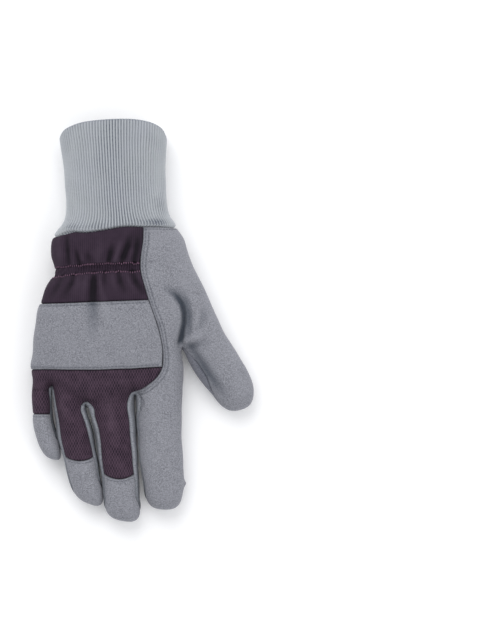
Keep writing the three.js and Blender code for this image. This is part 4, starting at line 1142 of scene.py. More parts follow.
@dataclass
class Panel:
    """One cut piece of cloth: its ray grids, its wall and the way it is sewn in."""

    node: str
    grids: list[Array]
    wall: float
    finish: Suede | PlumMesh | RibKnit
    flat: tuple[float, float]
    area: float
    held: Held = Held.STRETCHED
    raised: float = 0.0
    pitch: float = 0.9
    roll_depth: float = 0.9
    roll_width: float = 1.6
    crown: float = 0.25
    welt: float = 0.0
    rows: tuple[StitchRow, ...] = ()
    extra: Callable[[Array], Array] | None = None
    surface: Callable[[Array], Array] | None = None
    seam_gap: float = 0.13
    stitch_shade: float = 2.4
    even_rounds: int = 0
    paths: dict[str, list[list[Vector]]] = field(default_factory=dict)

    def fine_grids(self, skin: Skin) -> list[tuple[Array, Array]]:
        """Refines the grids to the panel's pitch.

        Args:
            skin: The glove's skin.

        Returns:
            The rays and the points where they meet the skin, for each grid.
        """
        coarse = [skin.meet(grid, self.raised) for grid in self.grids]
        wide = np.concatenate([np.linalg.norm(np.diff(points, axis=1), axis=2).ravel() for points in coarse])
        along = max(1, round(float(np.percentile(wide, 80)) / self.pitch))
        fine = []
        for grid, points in zip(self.grids, coarse):
            steps = np.linalg.norm(np.diff(points, axis=0), axis=2)
            down_steps = max(1, round(float(np.percentile(steps, 80)) / self.pitch))
            rays = refine(grid, down_steps, along)
            fine.append((rays, skin.meet(rays, self.raised)))
        return fine

    @staticmethod
    def cloth_places(points: Array) -> Array:
        """The cloth's own coordinates: round each row from its middle, and along the glove."""
        steps = np.hypot(np.diff(points[..., 0], axis=1), np.diff(points[..., 2], axis=1))
        across = np.concatenate([np.zeros((len(points), 1)), np.cumsum(steps, axis=1)], axis=1)
        middle = points.shape[1] // 2
        across += (points[:, middle, 0] - across[:, middle])[:, None]
        return np.stack([across, points[..., 1], np.zeros_like(across)], axis=-1)

    def stitch_path(self, points: Array, stitches: StitchRow) -> Array:
        """A line on the panel at an even distance from one of its borders.

        Args:
            points: The grid's points.
            stitches: Which border, how far in, and the share of its length.

        Returns:
            The points of the line.
        """
        lines = points if stitches.side in (Side.LEFT, Side.RIGHT) else points.transpose(1, 0, 2)
        if stitches.side in (Side.RIGHT, Side.LAST_ROW):
            lines = lines[:, ::-1]
        count = points.shape[1] if stitches.along_row >= 0 else len(lines)
        first, last = (round(share * (count - 1)) for share in (stitches.start, stitches.stop))
        if stitches.along_row >= 0:
            step = (len(points) - 1) // (len(self.grids[stitches.grid]) - 1)
            return points[stitches.along_row * step, first:last + 1]
        path = []
        for line in lines[first:last + 1]:
            reach = np.concatenate([[0], np.cumsum(np.linalg.norm(np.diff(line, axis=0), axis=1))])
            path.append([np.interp(stitches.inset, reach, line[:, k]) for k in range(3)])
        return np.array(path)

    def build(self, skin: Skin, relief: Relief) -> bpy.types.Object:
        """Makes the panel's mesh and its wall.

        Args:
            skin: The glove's skin.
            relief: The folds over it.

        Returns:
            The panel's object, which stands for its node.
        """
        bm = bmesh.new()
        cloth = bm.verts.layers.float_vector.new("cloth")
        grids = self.fine_grids(skin)
        for _, points in grids:
            self.add_grid(bm, cloth, points)
        bmesh.ops.remove_doubles(bm, verts=bm.verts, dist=0.02)
        bmesh.ops.dissolve_degenerate(bm, dist=0.005, edges=bm.edges)
        self.draw_in(bm)
        points = np.array([vert.co for vert in bm.verts])
        normals = skin.outward(points)
        border = self.border_distance(bm, points)
        lines = [self.stitch_path(grids[stitches.grid][1], stitches) for stitches in self.rows]
        outer, inner, sunk = self.heights(points, border, relief, lines)
        faces = points + normals * outer[:, None]
        faces[:, 2] = np.maximum(faces[:, 2], 0)
        # The crease layer holds the folds' heights and the stitch rows' deepened dips, from which the
        # finishes paint shade in folds and along stitches and a highlight on crests.
        crease = bm.verts.layers.float.new("crease")
        for vert, place, gap, fold in zip(bm.verts, faces, border, relief.fold_height(points) - sunk):
            vert.co = place * MM
            vert[cloth].z = gap
            vert[crease] = fold
        self.paths = self.lay_paths(bm, lines)
        self.add_wall(bm, points + self.evened(bm, normals) * inner[:, None])
        return self.dress(bm)

    def evened(self, bm: bmesh.types.BMesh, normals: Array) -> Array:
        """The normals averaged over the mesh, so that no sharp turn folds the inner face.

        Args:
            bm: The panel's outer face.
            normals: A unit normal for each of its corners.

        Returns:
            The averaged unit normals.
        """
        bm.verts.index_update()
        first, second = np.array([[vert.index for vert in edge.verts] for edge in bm.edges]).T
        for _ in range(self.even_rounds):
            total = normals.copy()
            np.add.at(total, first, normals[second])
            np.add.at(total, second, normals[first])
            normals = total / np.maximum(np.linalg.norm(total, axis=1, keepdims=True), 1e-9)
        return normals

    def draw_in(self, bm: bmesh.types.BMesh) -> None:
        """Draws the panel's border in by its half of the seam's gap.

        Args:
            bm: The panel's outer face, in millimetres.
        """
        moves = []
        for vert in bm.verts:
            if not vert.is_boundary:
                continue
            inside = [edge.other_vert(vert).co for edge in vert.link_edges if not edge.is_boundary]
            ends = inside or [edge.other_vert(vert).co for edge in vert.link_edges]
            heading = sum(ends, Vector()) / len(ends) - vert.co
            moves.append((vert, heading.normalized() * self.seam_gap))
        for vert, move in moves:
            vert.co += move

    @staticmethod
    def add_wall(bm: bmesh.types.BMesh, inner: Array) -> None:
        """Closes the panel with an inner face and a rim.

        Args:
            bm: The panel's outer face.
            inner: Where each of its corners lies on the inner face, in millimetres.
        """
        bm.verts.index_update()
        number = bm.verts.layers.int.new("number")
        for vert in bm.verts:
            vert[number] = vert.index
        made = bmesh.ops.extrude_face_region(bm, geom=list(bm.faces), use_keep_orig=True)
        for vert in made["geom"]:
            if isinstance(vert, bmesh.types.BMVert):
                vert.co = inner[vert[number]] * MM
        bm.verts.layers.int.remove(number)
        bmesh.ops.recalc_face_normals(bm, faces=bm.faces)

    @staticmethod
    def add_grid(bm: bmesh.types.BMesh, cloth: bmesh.types.BMLayerItem, points: Array) -> None:
        """Adds one flat grid and moves its corners to the skin.

        Args:
            bm: The panel's mesh.
            cloth: The layer for the cloth's own coordinates.
            points: Where each corner goes, in millimetres.
        """
        rows, columns = points.shape[:2]
        places = Panel.cloth_places(points)
        made = bmesh.ops.create_grid(bm, x_segments=columns - 1, y_segments=rows - 1, size=1)
        for vert in made["verts"]:
            i = round((vert.co.y + 1) / 2 * (rows - 1))
            j = round((vert.co.x + 1) / 2 * (columns - 1))
            vert.co = points[i, j]
            vert[cloth] = places[i, j]

    @staticmethod
    def border_distance(bm: bmesh.types.BMesh, points: Array) -> Array:
        """Distance from each corner to the nearest border of the panel.

        Args:
            bm: The panel's outer face.
            points: Its corners, in millimetres.

        Returns:
            One distance for each corner.
        """
        return nearest_gaps(points, points[[vert.index for vert in bm.verts if vert.is_boundary]])

    def heights(self, points: Array, border: Array, relief: Relief, lines: list[Array]) -> tuple[Array, ...]:
        """How far the outer and inner faces stand off the skin, and how deep the stitches draw it in.

        Args:
            points: The corners on the skin.
            border: Their distances to the panel's border.
            relief: The folds of the glove.
            lines: The lines of stitches.

        Returns:
            One height for each corner of either face, and the stitches' dips made deeper by stitch_shade for
            the painted shade along them.
        """
        height = relief.at(points)
        if self.extra is not None:
            height += self.extra(points)
        inner = height - self.wall
        if self.surface is not None:
            height = height + self.surface(points)
        turned = np.clip(1 - border / self.roll_width, 0, 1)
        height = height - self.roll_depth * (1 - np.sqrt(1 - turned ** 2))
        height += self.crown * np.clip(border / 8, 0, 1)
        height += self.welt * np.exp(-((border - 1.9) / 1.3) ** 2)
        sunk = np.zeros(len(points))
        for stitches, line in zip(self.rows, lines):
            sunk += stitches.dip * np.exp(-((nearest_gaps(points, line) / 0.85) ** 2))
        return height - sunk, inner, sunk * self.stitch_shade

    def lay_paths(self, bm: bmesh.types.BMesh, lines: list[Array]) -> dict[str, list[list[Vector]]]:
        """Drops the lines of stitches onto the finished surface.

        Args:
            bm: The panel's outer face, in metres.
            lines: The lines of stitches, in millimetres.

        Returns:
            The lines in metres, for each colour of thread.
        """
        paths = {}
        tree = BVHTree.FromBMesh(bm)
        for stitches, line in zip(self.rows, lines):
            laid = [tree.find_nearest(Vector(point) * MM)[0] for point in line]
            paths.setdefault(stitches.thread, []).append(laid)
        return paths

    def dress(self, bm: bmesh.types.BMesh) -> bpy.types.Object:
        """Turns the mesh into the finished piece with its wall.

        Args:
            bm: The panel's mesh, in metres.

        Returns:
            The object.
        """
        mesh = bpy.data.meshes.new(self.node)
        bm.to_mesh(mesh)
        bm.free()
        mesh.shade_smooth()
        piece = bpy.data.objects.new(f"{self.node}_cloth", mesh)
        bpy.context.collection.objects.link(piece)
        mesh.materials.append(finish_of(self.finish))
        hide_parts(self.node)
        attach(piece, "root")
        return piece


MATERIALS: dict[str, bpy.types.Material] = {}


def finish_of(finish: Suede | PlumMesh | RibKnit | Thread | PaleFloor) -> bpy.types.Material:
    """The material of a finish, made once."""
    if finish.name not in MATERIALS:
        MATERIALS[finish.name] = finish.make()
    return MATERIALS[finish.name]


@dataclass
class Stitching:
    """Rows of short stitches in one colour of thread."""

    name: str
    thread: Thread
    colour: str
    length: float = 2.0
    pitch: float = 2.75
    radius: float = 0.3
    lift: float = 0.0
    upright: bool = False
    paths: list[list[Vector]] = field(default_factory=list)

    def places(self, path: list[Vector]) -> list[tuple[Vector, Vector]]:
        """Middles and directions of the stitches along a path.

        Args:
            path: The line of stitches.

        Returns:
            A place and a heading for each stitch.
        """
        points = np.array(path) / MM
        reach = np.concatenate([[0], np.cumsum(np.linalg.norm(np.diff(points, axis=0), axis=1))])
        middles = np.arange(self.pitch / 2, reach[-1], self.pitch)
        found = []
        for middle in middles:
            a, b = (
                Vector([np.interp(middle + offset, reach, points[:, k]) for k in range(3)])
                for offset in (-self.length / 2, self.length / 2)
            )
            if (b - a).length > self.length / 2:
                heading = Vector((0, 1, 0)) if self.upright else (b - a).normalized()
                spot = (a + b) / 2 + Vector((0, 0, self.lift))
                spot.z = max(spot.z, 1.1 * self.radius)
                found.append((spot, heading))
        return found

    def build(self) -> bpy.types.Object:
        """Makes every stitch as a small pointed bead along its row."""
        bm = bmesh.new()
        for path in self.paths:
            for middle, heading in self.places(path):
                turn = heading.to_track_quat("Z", "Y").to_matrix().to_4x4()
                size = Matrix.Diagonal((self.radius * MM, self.radius * MM, self.length / 2 * MM, 1))
                place = Matrix.Translation(middle * MM) @ turn @ size
                bmesh.ops.create_uvsphere(bm, u_segments=6, v_segments=5, radius=1, matrix=place)
        bmesh.ops.recalc_face_normals(bm, faces=bm.faces)
        mesh = bpy.data.meshes.new(self.name)
        bm.to_mesh(mesh)
        bm.free()
        mesh.shade_smooth()
        piece = bpy.data.objects.new(self.name, mesh)
        bpy.context.collection.objects.link(piece)
        mesh.materials.append(finish_of(self.thread))
        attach(piece, "root")
        return piece


SUEDE_BACK = Suede("suede_back", "suede_back", (129, 130, 137))
SUEDE_STRAP = Suede("suede_strap", "suede_back", (127, 128, 135))
SUEDE_GUSSET = Suede("suede_gusset", "suede_back", (133, 136, 143), edge=0.15, slot_shade=0.85)
# The back's suede made darker for the palm side: painted shade.
SUEDE_PALM_SHADED = Suede("suede_palm", "suede_palm", (116, 117, 126))
PLUM_BACK = PlumMesh("plum_mesh", "plum_knit", (80, 61, 76), (33, 25, 36))
PLUM_WRIST = PlumMesh(
    "plum_wrist", "plum_knit", (51, 38, 52), (25, 19, 29), lattice=0.0, wale=1.5, wale_tone=0.6,
)
RIB_KNIT = RibKnit("rib_knit", "knit")
GREY_THREAD = Thread("grey_thread", "suede_back", (112, 114, 122))
PLUM_THREAD = Thread("plum_thread", "plum_knit", (114, 86, 106))


# Sub-assemblies

CROSSING_START = 30.0
CROSSING_ROUNDS = 12


def strap_top(x: float) -> float:
    """Height of the strap's upper seam."""
    return float(19.2 + 3.0 * (x + 51) / 84)


def strap_bottom(x: float) -> float:
    """Height of the strap's lower seam, which sags in the middle."""
    t = (x + 57) / 98
    return float(-28.9 + 1.5 * t - 1.4 * math.sin(math.pi * min(max(t, 0), 1)))


def cuff_seam(x: float) -> float:
    """Height of the seam under the cuff."""
    return float(CUFF_SEAM.at("y", x))


def fore_seam(y: float) -> float:
    """Place across of the seam beside the forefinger piece."""
    return float(FOREFINGER_SEAM.at("x", y))


def seam_crossing(line: Callable[[float], float]) -> float:
    """Height at which a line across the back meets the forefinger seam."""
    y = line(CROSSING_START)
    for _ in range(CROSSING_ROUNDS):
        y = line(fore_seam(y))
    return y


def share_of(a: Callable[[float], float], b: Callable[[float], float], t: float) -> Callable[[float], float]:
    """The line a share t of the way between two lines across the back."""
    return lambda x: a(x) + (b(x) - a(x)) * t


def back_row(line: Callable[[float], float], steps: int) -> Array:
    """Rays across the back at the heights of a line, round its left edge first.

    Args:
        line: Height of the line at each place across.
        steps: Steps from the left core to the forefinger seam.

    Returns:
        The row of rays.
    """
    right_y = seam_crossing(line)
    right_x = fore_seam(right_y)
    start = left_core(line(-48))
    rays = row(left_seam(line(-48)), (3, left_edge(line(-40))), (3, up(start, line(start))))
    xs = np.linspace(start, right_x, steps + 1)[1:-1]
    return np.stack([*rays, *(up(x, line(x)) for x in xs), up(right_x, right_y)])


@dataclass
class KnitCuff:
    """The ribbed knit tube round the wrist, its rim turned over and its foot tucked under the seam."""

    ribs: int = 98
    points_per_rib: int = 8
    arc_points: int = 2401
    row_pitch: float = 1.9
    foot_rows: tuple[float, ...] = (-3.0, -1.5, -0.5, 0, 0.35, 0.7, 1.1, 1.6, 2.4, 3.6)
    rim_rows: tuple[float, ...] = (3.0, 2.0, 1.3, 0.8, 0.4, 0.12, 0)
    wall: float = 2.8
    depth: float = 1.15
    seam_depth: float = 0.6
    tuck: float = 2.6
    palm_drop: float = 2.5
    rim: Table = field(default_factory=lambda: Table("x y", (
        (-38, 138), (-36.5, 142.0), (-35.2, 144.6), (-32.6, 147.4), (-28.1, 149.9), (-19.4, 152.8),
        (-11.0, 154.2), (2, 155.3), (14, 155.6), (22, 155.2), (29.0, 154.1), (34.6, 152.6), (40.4, 149.8),
        (43.4, 146.6), (44.6, 143.6), (46.5, 138),
    )))
    centre: float = 7.0
    reach: float = 44.0
    length: float = 78.0
    rim_place: float = 148.0

    @cached_property
    def arc(self) -> tuple[Array, Array]:
        """Angles round the tube and the share of its girth up to each."""
        angle = np.linspace(0, 2 * math.pi, self.arc_points)
        half, mid, rise = (BODY.table.at(name, -self.rim_place) for name in ("half", "mid", "rise"))
        reach = self.section(angle)
        x, z = half * reach * np.cos(angle), np.maximum(mid + rise * reach * np.sin(angle), 0)
        length = np.concatenate([[0], np.cumsum(np.hypot(np.diff(x), np.diff(z)))])
        return angle, length / length[-1]

    @staticmethod
    def section(angle: Array) -> Array:
        """Reach of the tube's rounded box section at each angle."""
        power = BODY.power
        return (np.abs(np.cos(angle)) ** power + np.abs(np.sin(angle)) ** power) ** (-1 / power)

    def grid(self) -> Array:
        """Rays round the tube, from the tucked foot to the rim."""
        count = self.ribs * self.points_per_rib
        angle = np.interp(np.arange(count + 1) / count, self.arc[1], self.arc[0])
        at = BODY.table.at
        seam = CUFF_SEAM.at("y", self.centre + self.reach * np.cos(angle))
        x = at("centre", -self.rim_place) + at("half", -self.rim_place) * self.section(angle) * np.cos(angle)
        rim = self.rim.at("y", x) - self.palm_drop * np.maximum(-np.sin(angle), 0)
        foot, top = np.array(self.foot_rows), self.length - np.array(self.rim_rows)
        middle = np.arange(foot[-1] + self.row_pitch, top[0] - 1, self.row_pitch)
        share = np.concatenate([foot, middle, top]) / self.length
        y = seam + (rim - seam) * share[:, None]
        aside, climb = at("half", -y) * np.cos(angle), at("rise", -y) * np.sin(angle)
        direction = np.stack([aside, np.zeros_like(y), climb], axis=-1)
        direction /= np.linalg.norm(direction, axis=-1, keepdims=True)
        start = np.stack([at("centre", -y), y, at("mid", -y)], axis=-1)
        return np.concatenate([start, direction, np.zeros((*y.shape, 1))], axis=-1)

    def rib_count(self, points: Array) -> Array:
        """Count of ribs round the tube to each point."""
        x, y, z = points.T
        at = BODY.table.at
        across = (x - at("centre", -y)) / at("half", -y)
        rise = (z - at("mid", -y)) / at("rise", -y)
        return self.ribs * np.interp(np.arctan2(rise, across) % (2 * math.pi), *self.arc)

    def relief(self, points: Array) -> Array:
        """The ribs, deeper where the seam gathers them."""
        above = points[:, 1] - CUFF_SEAM.at("y", points[:, 0])
        crest = np.abs(np.cos(math.pi * self.rib_count(points))) ** 0.8
        deep = self.depth + self.seam_depth * np.exp(-((above - 4) / 4) ** 2)
        return (crest - 1) * deep * np.clip(above / 1.5, 0.3, 1)

    def slack(self, points: Array) -> Array:
        """The knit's flare above the seam and its dive under it."""
        above = points[:, 1] - CUFF_SEAM.at("y", points[:, 0])
        under = np.clip((1.5 - above) / 1.5, 0, 1)
        return 0.9 * np.exp(-((above - 3.5) / 3.0) ** 2) - self.tuck * under * under * (3 - 2 * under)

    def panel(self) -> Panel:
        """The cuff as one piece of cloth."""
        return Panel(
            node="knit_cuff", grids=[self.grid()], wall=self.wall, finish=RIB_KNIT, flat=(0.212, 0.089),
            area=0.0188, pitch=1e3, roll_depth=1.4, roll_width=1.4, crown=0.0,
            seam_gap=0.0, extra=self.slack, surface=self.relief,
        )

    def build(self, skin: Skin) -> list[bpy.types.Object]:
        """Builds the cuff and writes its ribs into the cloth's coordinates.

        Args:
            skin: The glove's skin.

        Returns:
            The cuff's object in a list.
        """
        panel = self.panel()
        piece = panel.build(skin, Relief(folds=(), wave_height=0.12))
        layer = piece.data.attributes["cloth"].data
        points = np.array([vert.co for vert in piece.data.vertices]) / MM
        for count, point, item in zip(self.rib_count(points), points, layer):
            item.vector = (count, point[1], item.vector[2])
        log.info("%s: %d faces", piece.name, len(piece.data.polygons))
        return [piece]


def build_all(panels: list[Panel], skin: Skin, relief: Relief) -> list[bpy.types.Object]:
    """Builds panels and logs each.

    Args:
        panels: The panels.
        skin: The glove's skin.
        relief: The folds over it.

    Returns:
        One object for each panel.
    """
    pieces = []
    for panel in panels:
        piece = panel.build(skin, relief)
        pieces.append(piece)
        log.info("%s: %d faces", piece.name, len(piece.data.polygons))
    return pieces


@dataclass
class BackOfHand:
    """The gathered wrist panel, the bare knuckle strap, the mesh back and the three fingertip caps."""

    plum_wall: float = 1.8
    suede_wall: float = 2.2
    strap_raise: float = 1.0
    wrist_steps: int = 24
    strap_steps: int = 12
    cap_cuts: dict[str, tuple[float, float, float]] = field(default_factory=lambda: {
        "middle": (0.030, 0.038, 0.00104), "ring": (0.030, 0.038, 0.00102), "little": (0.031, 0.036, 0.00105),
    })
    panels: list[Panel] = field(default_factory=list)

    def wrist(self, relief: Relief) -> Panel:
        """The shirred panel between the cuff and the strap.

        Args:
            relief: The glove's folds and its elastic.

        Returns:
            The panel.
        """
        def top(x: float) -> float:
            """Height of the elastic's upper row."""
            return float(ELASTIC_TOP.at("y", x))

        def bottom(x: float) -> float:
            """Height of the elastic's lower row."""
            return float(ELASTIC_BOTTOM.at("y", x))

        lines = [share_of(cuff_seam, top, t) for t in (0, 0.25, 0.55, 0.8, 1)]
        lines += [share_of(bottom, strap_top, t) for t in (0, 0.25, 0.6, 1)]
        grid = np.stack([back_row(line, self.wrist_steps) for line in lines])
        return Panel(
            node="wrist_panel", grids=[grid], wall=self.plum_wall, finish=PLUM_WRIST, flat=(0.112, 0.058),
            area=0.0055, held=Held.GATHERED, pitch=0.62, extra=relief.elastic, surface=relief.shirring,
            rows=tuple(StitchRow(0, Side.LEFT, 0, 0.07, 1, 0.5, "plum", line) for line in (4, 5)),
        )

    def strap(self) -> Panel:
        """The bare strap over the knuckles."""
        lines = [share_of(strap_top, strap_bottom, t) for t in (0, 0.25, 0.5, 0.75, 1)]
        grid = np.stack([back_row(line, self.strap_steps) for line in lines])
        rows = (
            StitchRow(0, Side.FIRST_ROW, 1.9, 0.04, 0.97),
            StitchRow(0, Side.LAST_ROW, 1.9, 0.04, 0.97),
        )
        return Panel(
            node="knuckle_strap", grids=[grid], wall=self.suede_wall, finish=SUEDE_STRAP, flat=(0.114, 0.053),
            area=0.0058, raised=self.strap_raise, roll_depth=1.1, roll_width=1.3, rows=rows,
        )

    def little_row(self, y: float, right: Array) -> Array:
        """A row over the little finger, from its outer seam to its inner one."""
        point = finger_point(LITTLE, -y)
        seam, edge = ray(*point, -90, little_seam(-1)), ray(*point, -90, EDGE_LIFT)
        return row(seam, (3, edge), (3, ray(*point, 90, 90)), (2, right))

    def little_tip_row(self, step: int) -> Array:
        """A row of the little finger's tip."""
        forward = TIP_ROWS[step][0]
        turn = tip_heading(LITTLE) - (90 - LITTLE_EDGE_TURN * forward)
        edge = ray(*finger_point(LITTLE, LITTLE.end), turn, EDGE_LIFT * (1 - forward))
        left, right = (tip_ray(LITTLE, step, side, little_seam(side)) for side in (-1, 1))
        return row(left, (3, edge), (3, tip_ray(LITTLE, step, 0, 1)), (2, right))

    def back(self) -> Panel:
        """The mesh back with the backs of the little, ring and middle fingers."""
        outer_y = CROTCHES["ring_little"][1]
        little = [self.little_row(outer_y, web_ray("ring_little", 0, 1))]
        ring, middle = root_rows("ring", 1), root_rows("middle", 1)
        last = np.concatenate([little[0], ring[0][1:], middle[0][1:]])
        first = back_row(strap_bottom, len(last) - 7)
        body = [first]
        for k, y in enumerate((-35.5, -42.2)):
            line = between(first, last, (k + 1) / 3)
            line[-1] = up(fore_seam(y), y)
            body.append(line)
        body.append(last)
        little.append(self.little_row(outer_y - WALL_ROW_DROP, web_ray("ring_little", 1, 1)))
        little += [self.little_row(-s, finger_ray(LITTLE, s, 1, little_seam(1))) for s in LITTLE.shaft]
        grids = [
            np.stack(body), np.stack(little),
            np.stack(ring + column_rows("ring", RING.shaft[:-1]) + [cap_seam("ring")]),
            np.stack(middle + column_rows("middle", MIDDLE.shaft[:-1]) + [cap_seam("middle")]),
        ]
        return Panel(
            node="back_panel", grids=grids, wall=self.plum_wall, finish=PLUM_BACK, flat=(0.112, 0.082),
            area=0.0056, pitch=0.8,
        )

    def cap(self, name: str) -> Panel:
        """A suede fingertip cap.

        Args:
            name: The finger.

        Returns:
            The cap's panel.
        """
        tube = FINGERS[name]
        places = (tube.shaft[-1], *tube.cap)
        if name == "little":
            rows = [self.little_row(-s, finger_ray(tube, s, 1, tube.lift(1, s))) for s in places]
            rows += [self.little_tip_row(step) for step in range(len(TIP_ROWS))]
        else:
            rows = [cap_seam(name), *tip_rows(name, 1, places)[1:]]
        return Panel(
            node=f"fingertip_cap_{name}", grids=[np.stack(rows)], wall=self.suede_wall, finish=SUEDE_BACK,
            flat=self.cap_cuts[name][:2], area=self.cap_cuts[name][2], pitch=0.75, raised=0.35,
            rows=(StitchRow(0, Side.FIRST_ROW, 1.9, 0.12, 0.9, 0.3),),
        )

    def build(self, skin: Skin, relief: Relief) -> list[bpy.types.Object]:
        """Builds the wrist panel, the strap, the back and the caps."""
        caps = [self.cap(name) for name in self.cap_cuts]
        self.panels = [self.wrist(relief), self.strap(), self.back(), *caps]
        return build_all(self.panels, skin, relief)


THUMB_WEB = ray(THUMB_CROTCH[0] - 3, THUMB_CROTCH[1] + 12, 15, 14, 24)
THUMB_WEB_LOW = ray(THUMB_CROTCH[0] - 4, THUMB_CROTCH[1] + 12, 13, 14, -48)
DIAGONAL = ((46.5, -19), (37.5, -28.5), (28.5, -38))
SIDE_SEAM_Y = (-23, -33, -42, -49, -54)
LAST_SIDE_SEAM_Y = -60
THUMB_EDGE_CORE = 13.0
THUMB_CROTCH_PLACE = 61
INDEX_MARGIN = 6.0
CUFF_EDGE_CORE = 20.0
HEM_OUTER_X = 50.0
HEM_OUTER_LIFT = -12.0
HEM_PALM_LIFT = -62.0


def index_side(y: float) -> Array:
    """The ray to the forefinger's outer side seam."""
    return finger_ray(INDEX, -y, 1, INDEX.lift(1, -y))


def side_row(left: Array, y: float, face: int, steps: int) -> Array:
    """A row to the forefinger's side seam, over its middle where the row starts left of it.

    Args:
        left: The ray that the row starts from.
        y: Place of the row along the glove.
        face: 1 for the back and -1 for the palm.
        steps: Steps from the first ray to the seam.

    Returns:
        The row of rays.
    """
    middle = finger_ray(INDEX, -y, 1, face * 90)
    if left[0] > middle[0] - INDEX_MARGIN:
        return row(left, (steps, index_side(y)))
    return row(left, (steps // 2, middle), (steps // 2, index_side(y)))


def thumb_edge(s: float, lift: float) -> Array:
    """A ray from inside the thumb's outer edge."""
    shift = max(0.0, float(THUMB.table.at("half", s)) - THUMB_EDGE_CORE)
    beam = finger_ray(THUMB, s, 1, lift)
    beam[0] += shift * math.cos(THUMB.plan)
    beam[1] += shift * math.sin(THUMB.plan)
    return beam


def hem_edge(lift: float) -> Array:
    """The cuff seam's ray at the outer edge."""
    y = cuff_seam(HEM_OUTER_X)
    return ray(edge_x(y, 1) - CUFF_EDGE_CORE, y, CORE_HEIGHT, 90, lift)


@dataclass
class ForefingerAndThumb:
    """The suede piece over the forefinger and thumb, the thumb's palm side and the forefinger's."""

    wall: float = 2.2
    index_steps: int = 6
    thumb_steps: int = 8
    palm_steps: int = 3
    shoulder_rows: tuple[tuple[float, float, float], ...] = (
        (66.0, -11, 0.86), (55.0, 2, 0.80), (44.0, 14, 0.74),
        (31.0, 27, 0.68), (17.0, 39, 0.60), (2.0, 50, 0.54),
    )
    seam_heights: tuple[float, ...] = (-11.8, -21, -29, -36, -42.2)
    palm_seam: tuple[tuple[float, float, float], ...] = (
        (66, 46.5, -11), (55, 49.0, 2), (44, 50.5, 14), (30, 51.5, 27), (16, 52.5, 39), (4, 53.0, 50),
    )
    panels: list[Panel] = field(default_factory=list)

    def index_rows(self) -> list[Array]:
        """Rows of the forefinger's back between its two seams."""
        steps = self.index_steps
        seams = [up(fore_seam(y), y) for y in self.seam_heights]
        rows = [row(seams[0], (steps, THUMB_WEB))]
        lefts = [*seams[1:], web_ray("index_middle", 0, 1)]
        rows += [side_row(left, y, 1, steps) for left, y in zip(lefts, SIDE_SEAM_Y)]
        rows.append(side_row(web_ray("index_middle", -1, 1), LAST_SIDE_SEAM_Y, 1, steps))
        keys = finger_rows(INDEX, 1, (*INDEX.shaft, *INDEX.cap))
        return rows + [row(a, (steps // 2, b), (steps // 2, c)) for a, b, c in keys]

    def back(self) -> Panel:
        """The one suede piece over the forefinger, the side of the wrist and the thumb."""
        half, full = self.index_steps // 2, self.thumb_steps
        hem_left = up(fore_seam(76.2), cuff_seam(27.4))
        hem_middle = up(edge_x(cuff_seam(HEM_OUTER_X), 1) - CUFF_EDGE_CORE, cuff_seam(40))
        shoulder = [row(hem_left, (half, hem_middle), (half + full, hem_edge(HEM_OUTER_LIFT)))]
        for y, s, split in self.shoulder_rows:
            left, top = up(fore_seam(y), y), thumb_edge(s, 90)
            middle = between(left, top, split)
            outer = thumb_edge(s, THUMB_OUTER)
            shoulder.append(row(left, (2 * half, middle), (full // 2, top), (full // 2, outer)))
        index = self.index_rows()
        ends = [thumb_edge(THUMB_CROTCH_PLACE, lift) for lift in (90, THUMB_OUTER)]
        crotch = row(THUMB_WEB, *((full // 2, end) for end in ends))
        shoulder.append(np.concatenate([index[0], crotch[1:]]))
        keys = finger_rows(THUMB, 1, THUMB.shaft)
        thumb = [crotch] + [row(a, (full // 2, b), (full // 2, c)) for a, b, c in keys]
        rows = (
            StitchRow(0, Side.LEFT, 1.7, 0.0, 1.0), StitchRow(0, Side.LEFT, 4.2, 0.04, 1.0),
            StitchRow(1, Side.LEFT, 1.7, 0.0, 0.42), StitchRow(1, Side.LEFT, 4.2, 0.0, 0.4),
            StitchRow(0, Side.FIRST_ROW, 1.8, 0.02, 0.9, 0.3),
        )
        return Panel(
            node="forefinger_thumb_back", grids=[np.stack(shoulder), np.stack(index), np.stack(thumb)],
            wall=self.wall, finish=SUEDE_BACK, flat=(0.122, 0.213), area=0.0125, pitch=0.85, raised=0.3,
            roll_depth=1.1, roll_width=1.5, rows=rows, surface=self.nub,
        )

    @staticmethod
    def nub(points: Array) -> Array:
        """The small end of the side seam that stands out by the forefinger's tip."""
        gap = np.linalg.norm(points - np.array((56.0, -114.5, 11.0)), axis=1)
        return 1.6 * np.exp(-((gap / 2.4) ** 2))

    def thumb_palm(self) -> Panel:
        """The thumb's palm side, up to the cuff."""
        n = self.palm_steps
        rows = [row(hem_edge(HEM_PALM_LIFT), (2 * n, hem_edge(HEM_OUTER_LIFT)))]
        rows += [row(down(x, y), (2 * n, thumb_edge(s, THUMB_OUTER))) for y, x, s in self.palm_seam]
        turns = (
            (THUMB_WEB_LOW, (60, -1, -52), (57, 1, -90), 56),
            (THUMB_WEB, (69, -1, -4), (64, 1, -90), THUMB_CROTCH_PLACE),
        )
        for web, wall_side, under, outer in turns:
            rows.append(row(web, (1, finger_ray(THUMB, *wall_side)), (n - 1, finger_ray(THUMB, *under)),
                            (n, thumb_edge(outer, THUMB_OUTER))))
        keys = finger_rows(THUMB, -1, THUMB.shaft)
        rows += [row(a, (n, b), (n, c)) for a, b, c in keys]
        return Panel(
            node="thumb_palm", grids=[np.stack(rows)], wall=self.wall, finish=SUEDE_PALM_SHADED, flat=(0.052, 0.140),
            area=0.0054, held=Held.LAID, surface=self.nub,
            rows=tuple(StitchRow(0, Side.RIGHT, inset, 0.12, 0.72, 0.5) for inset in (1.7, 4.0)),
        )

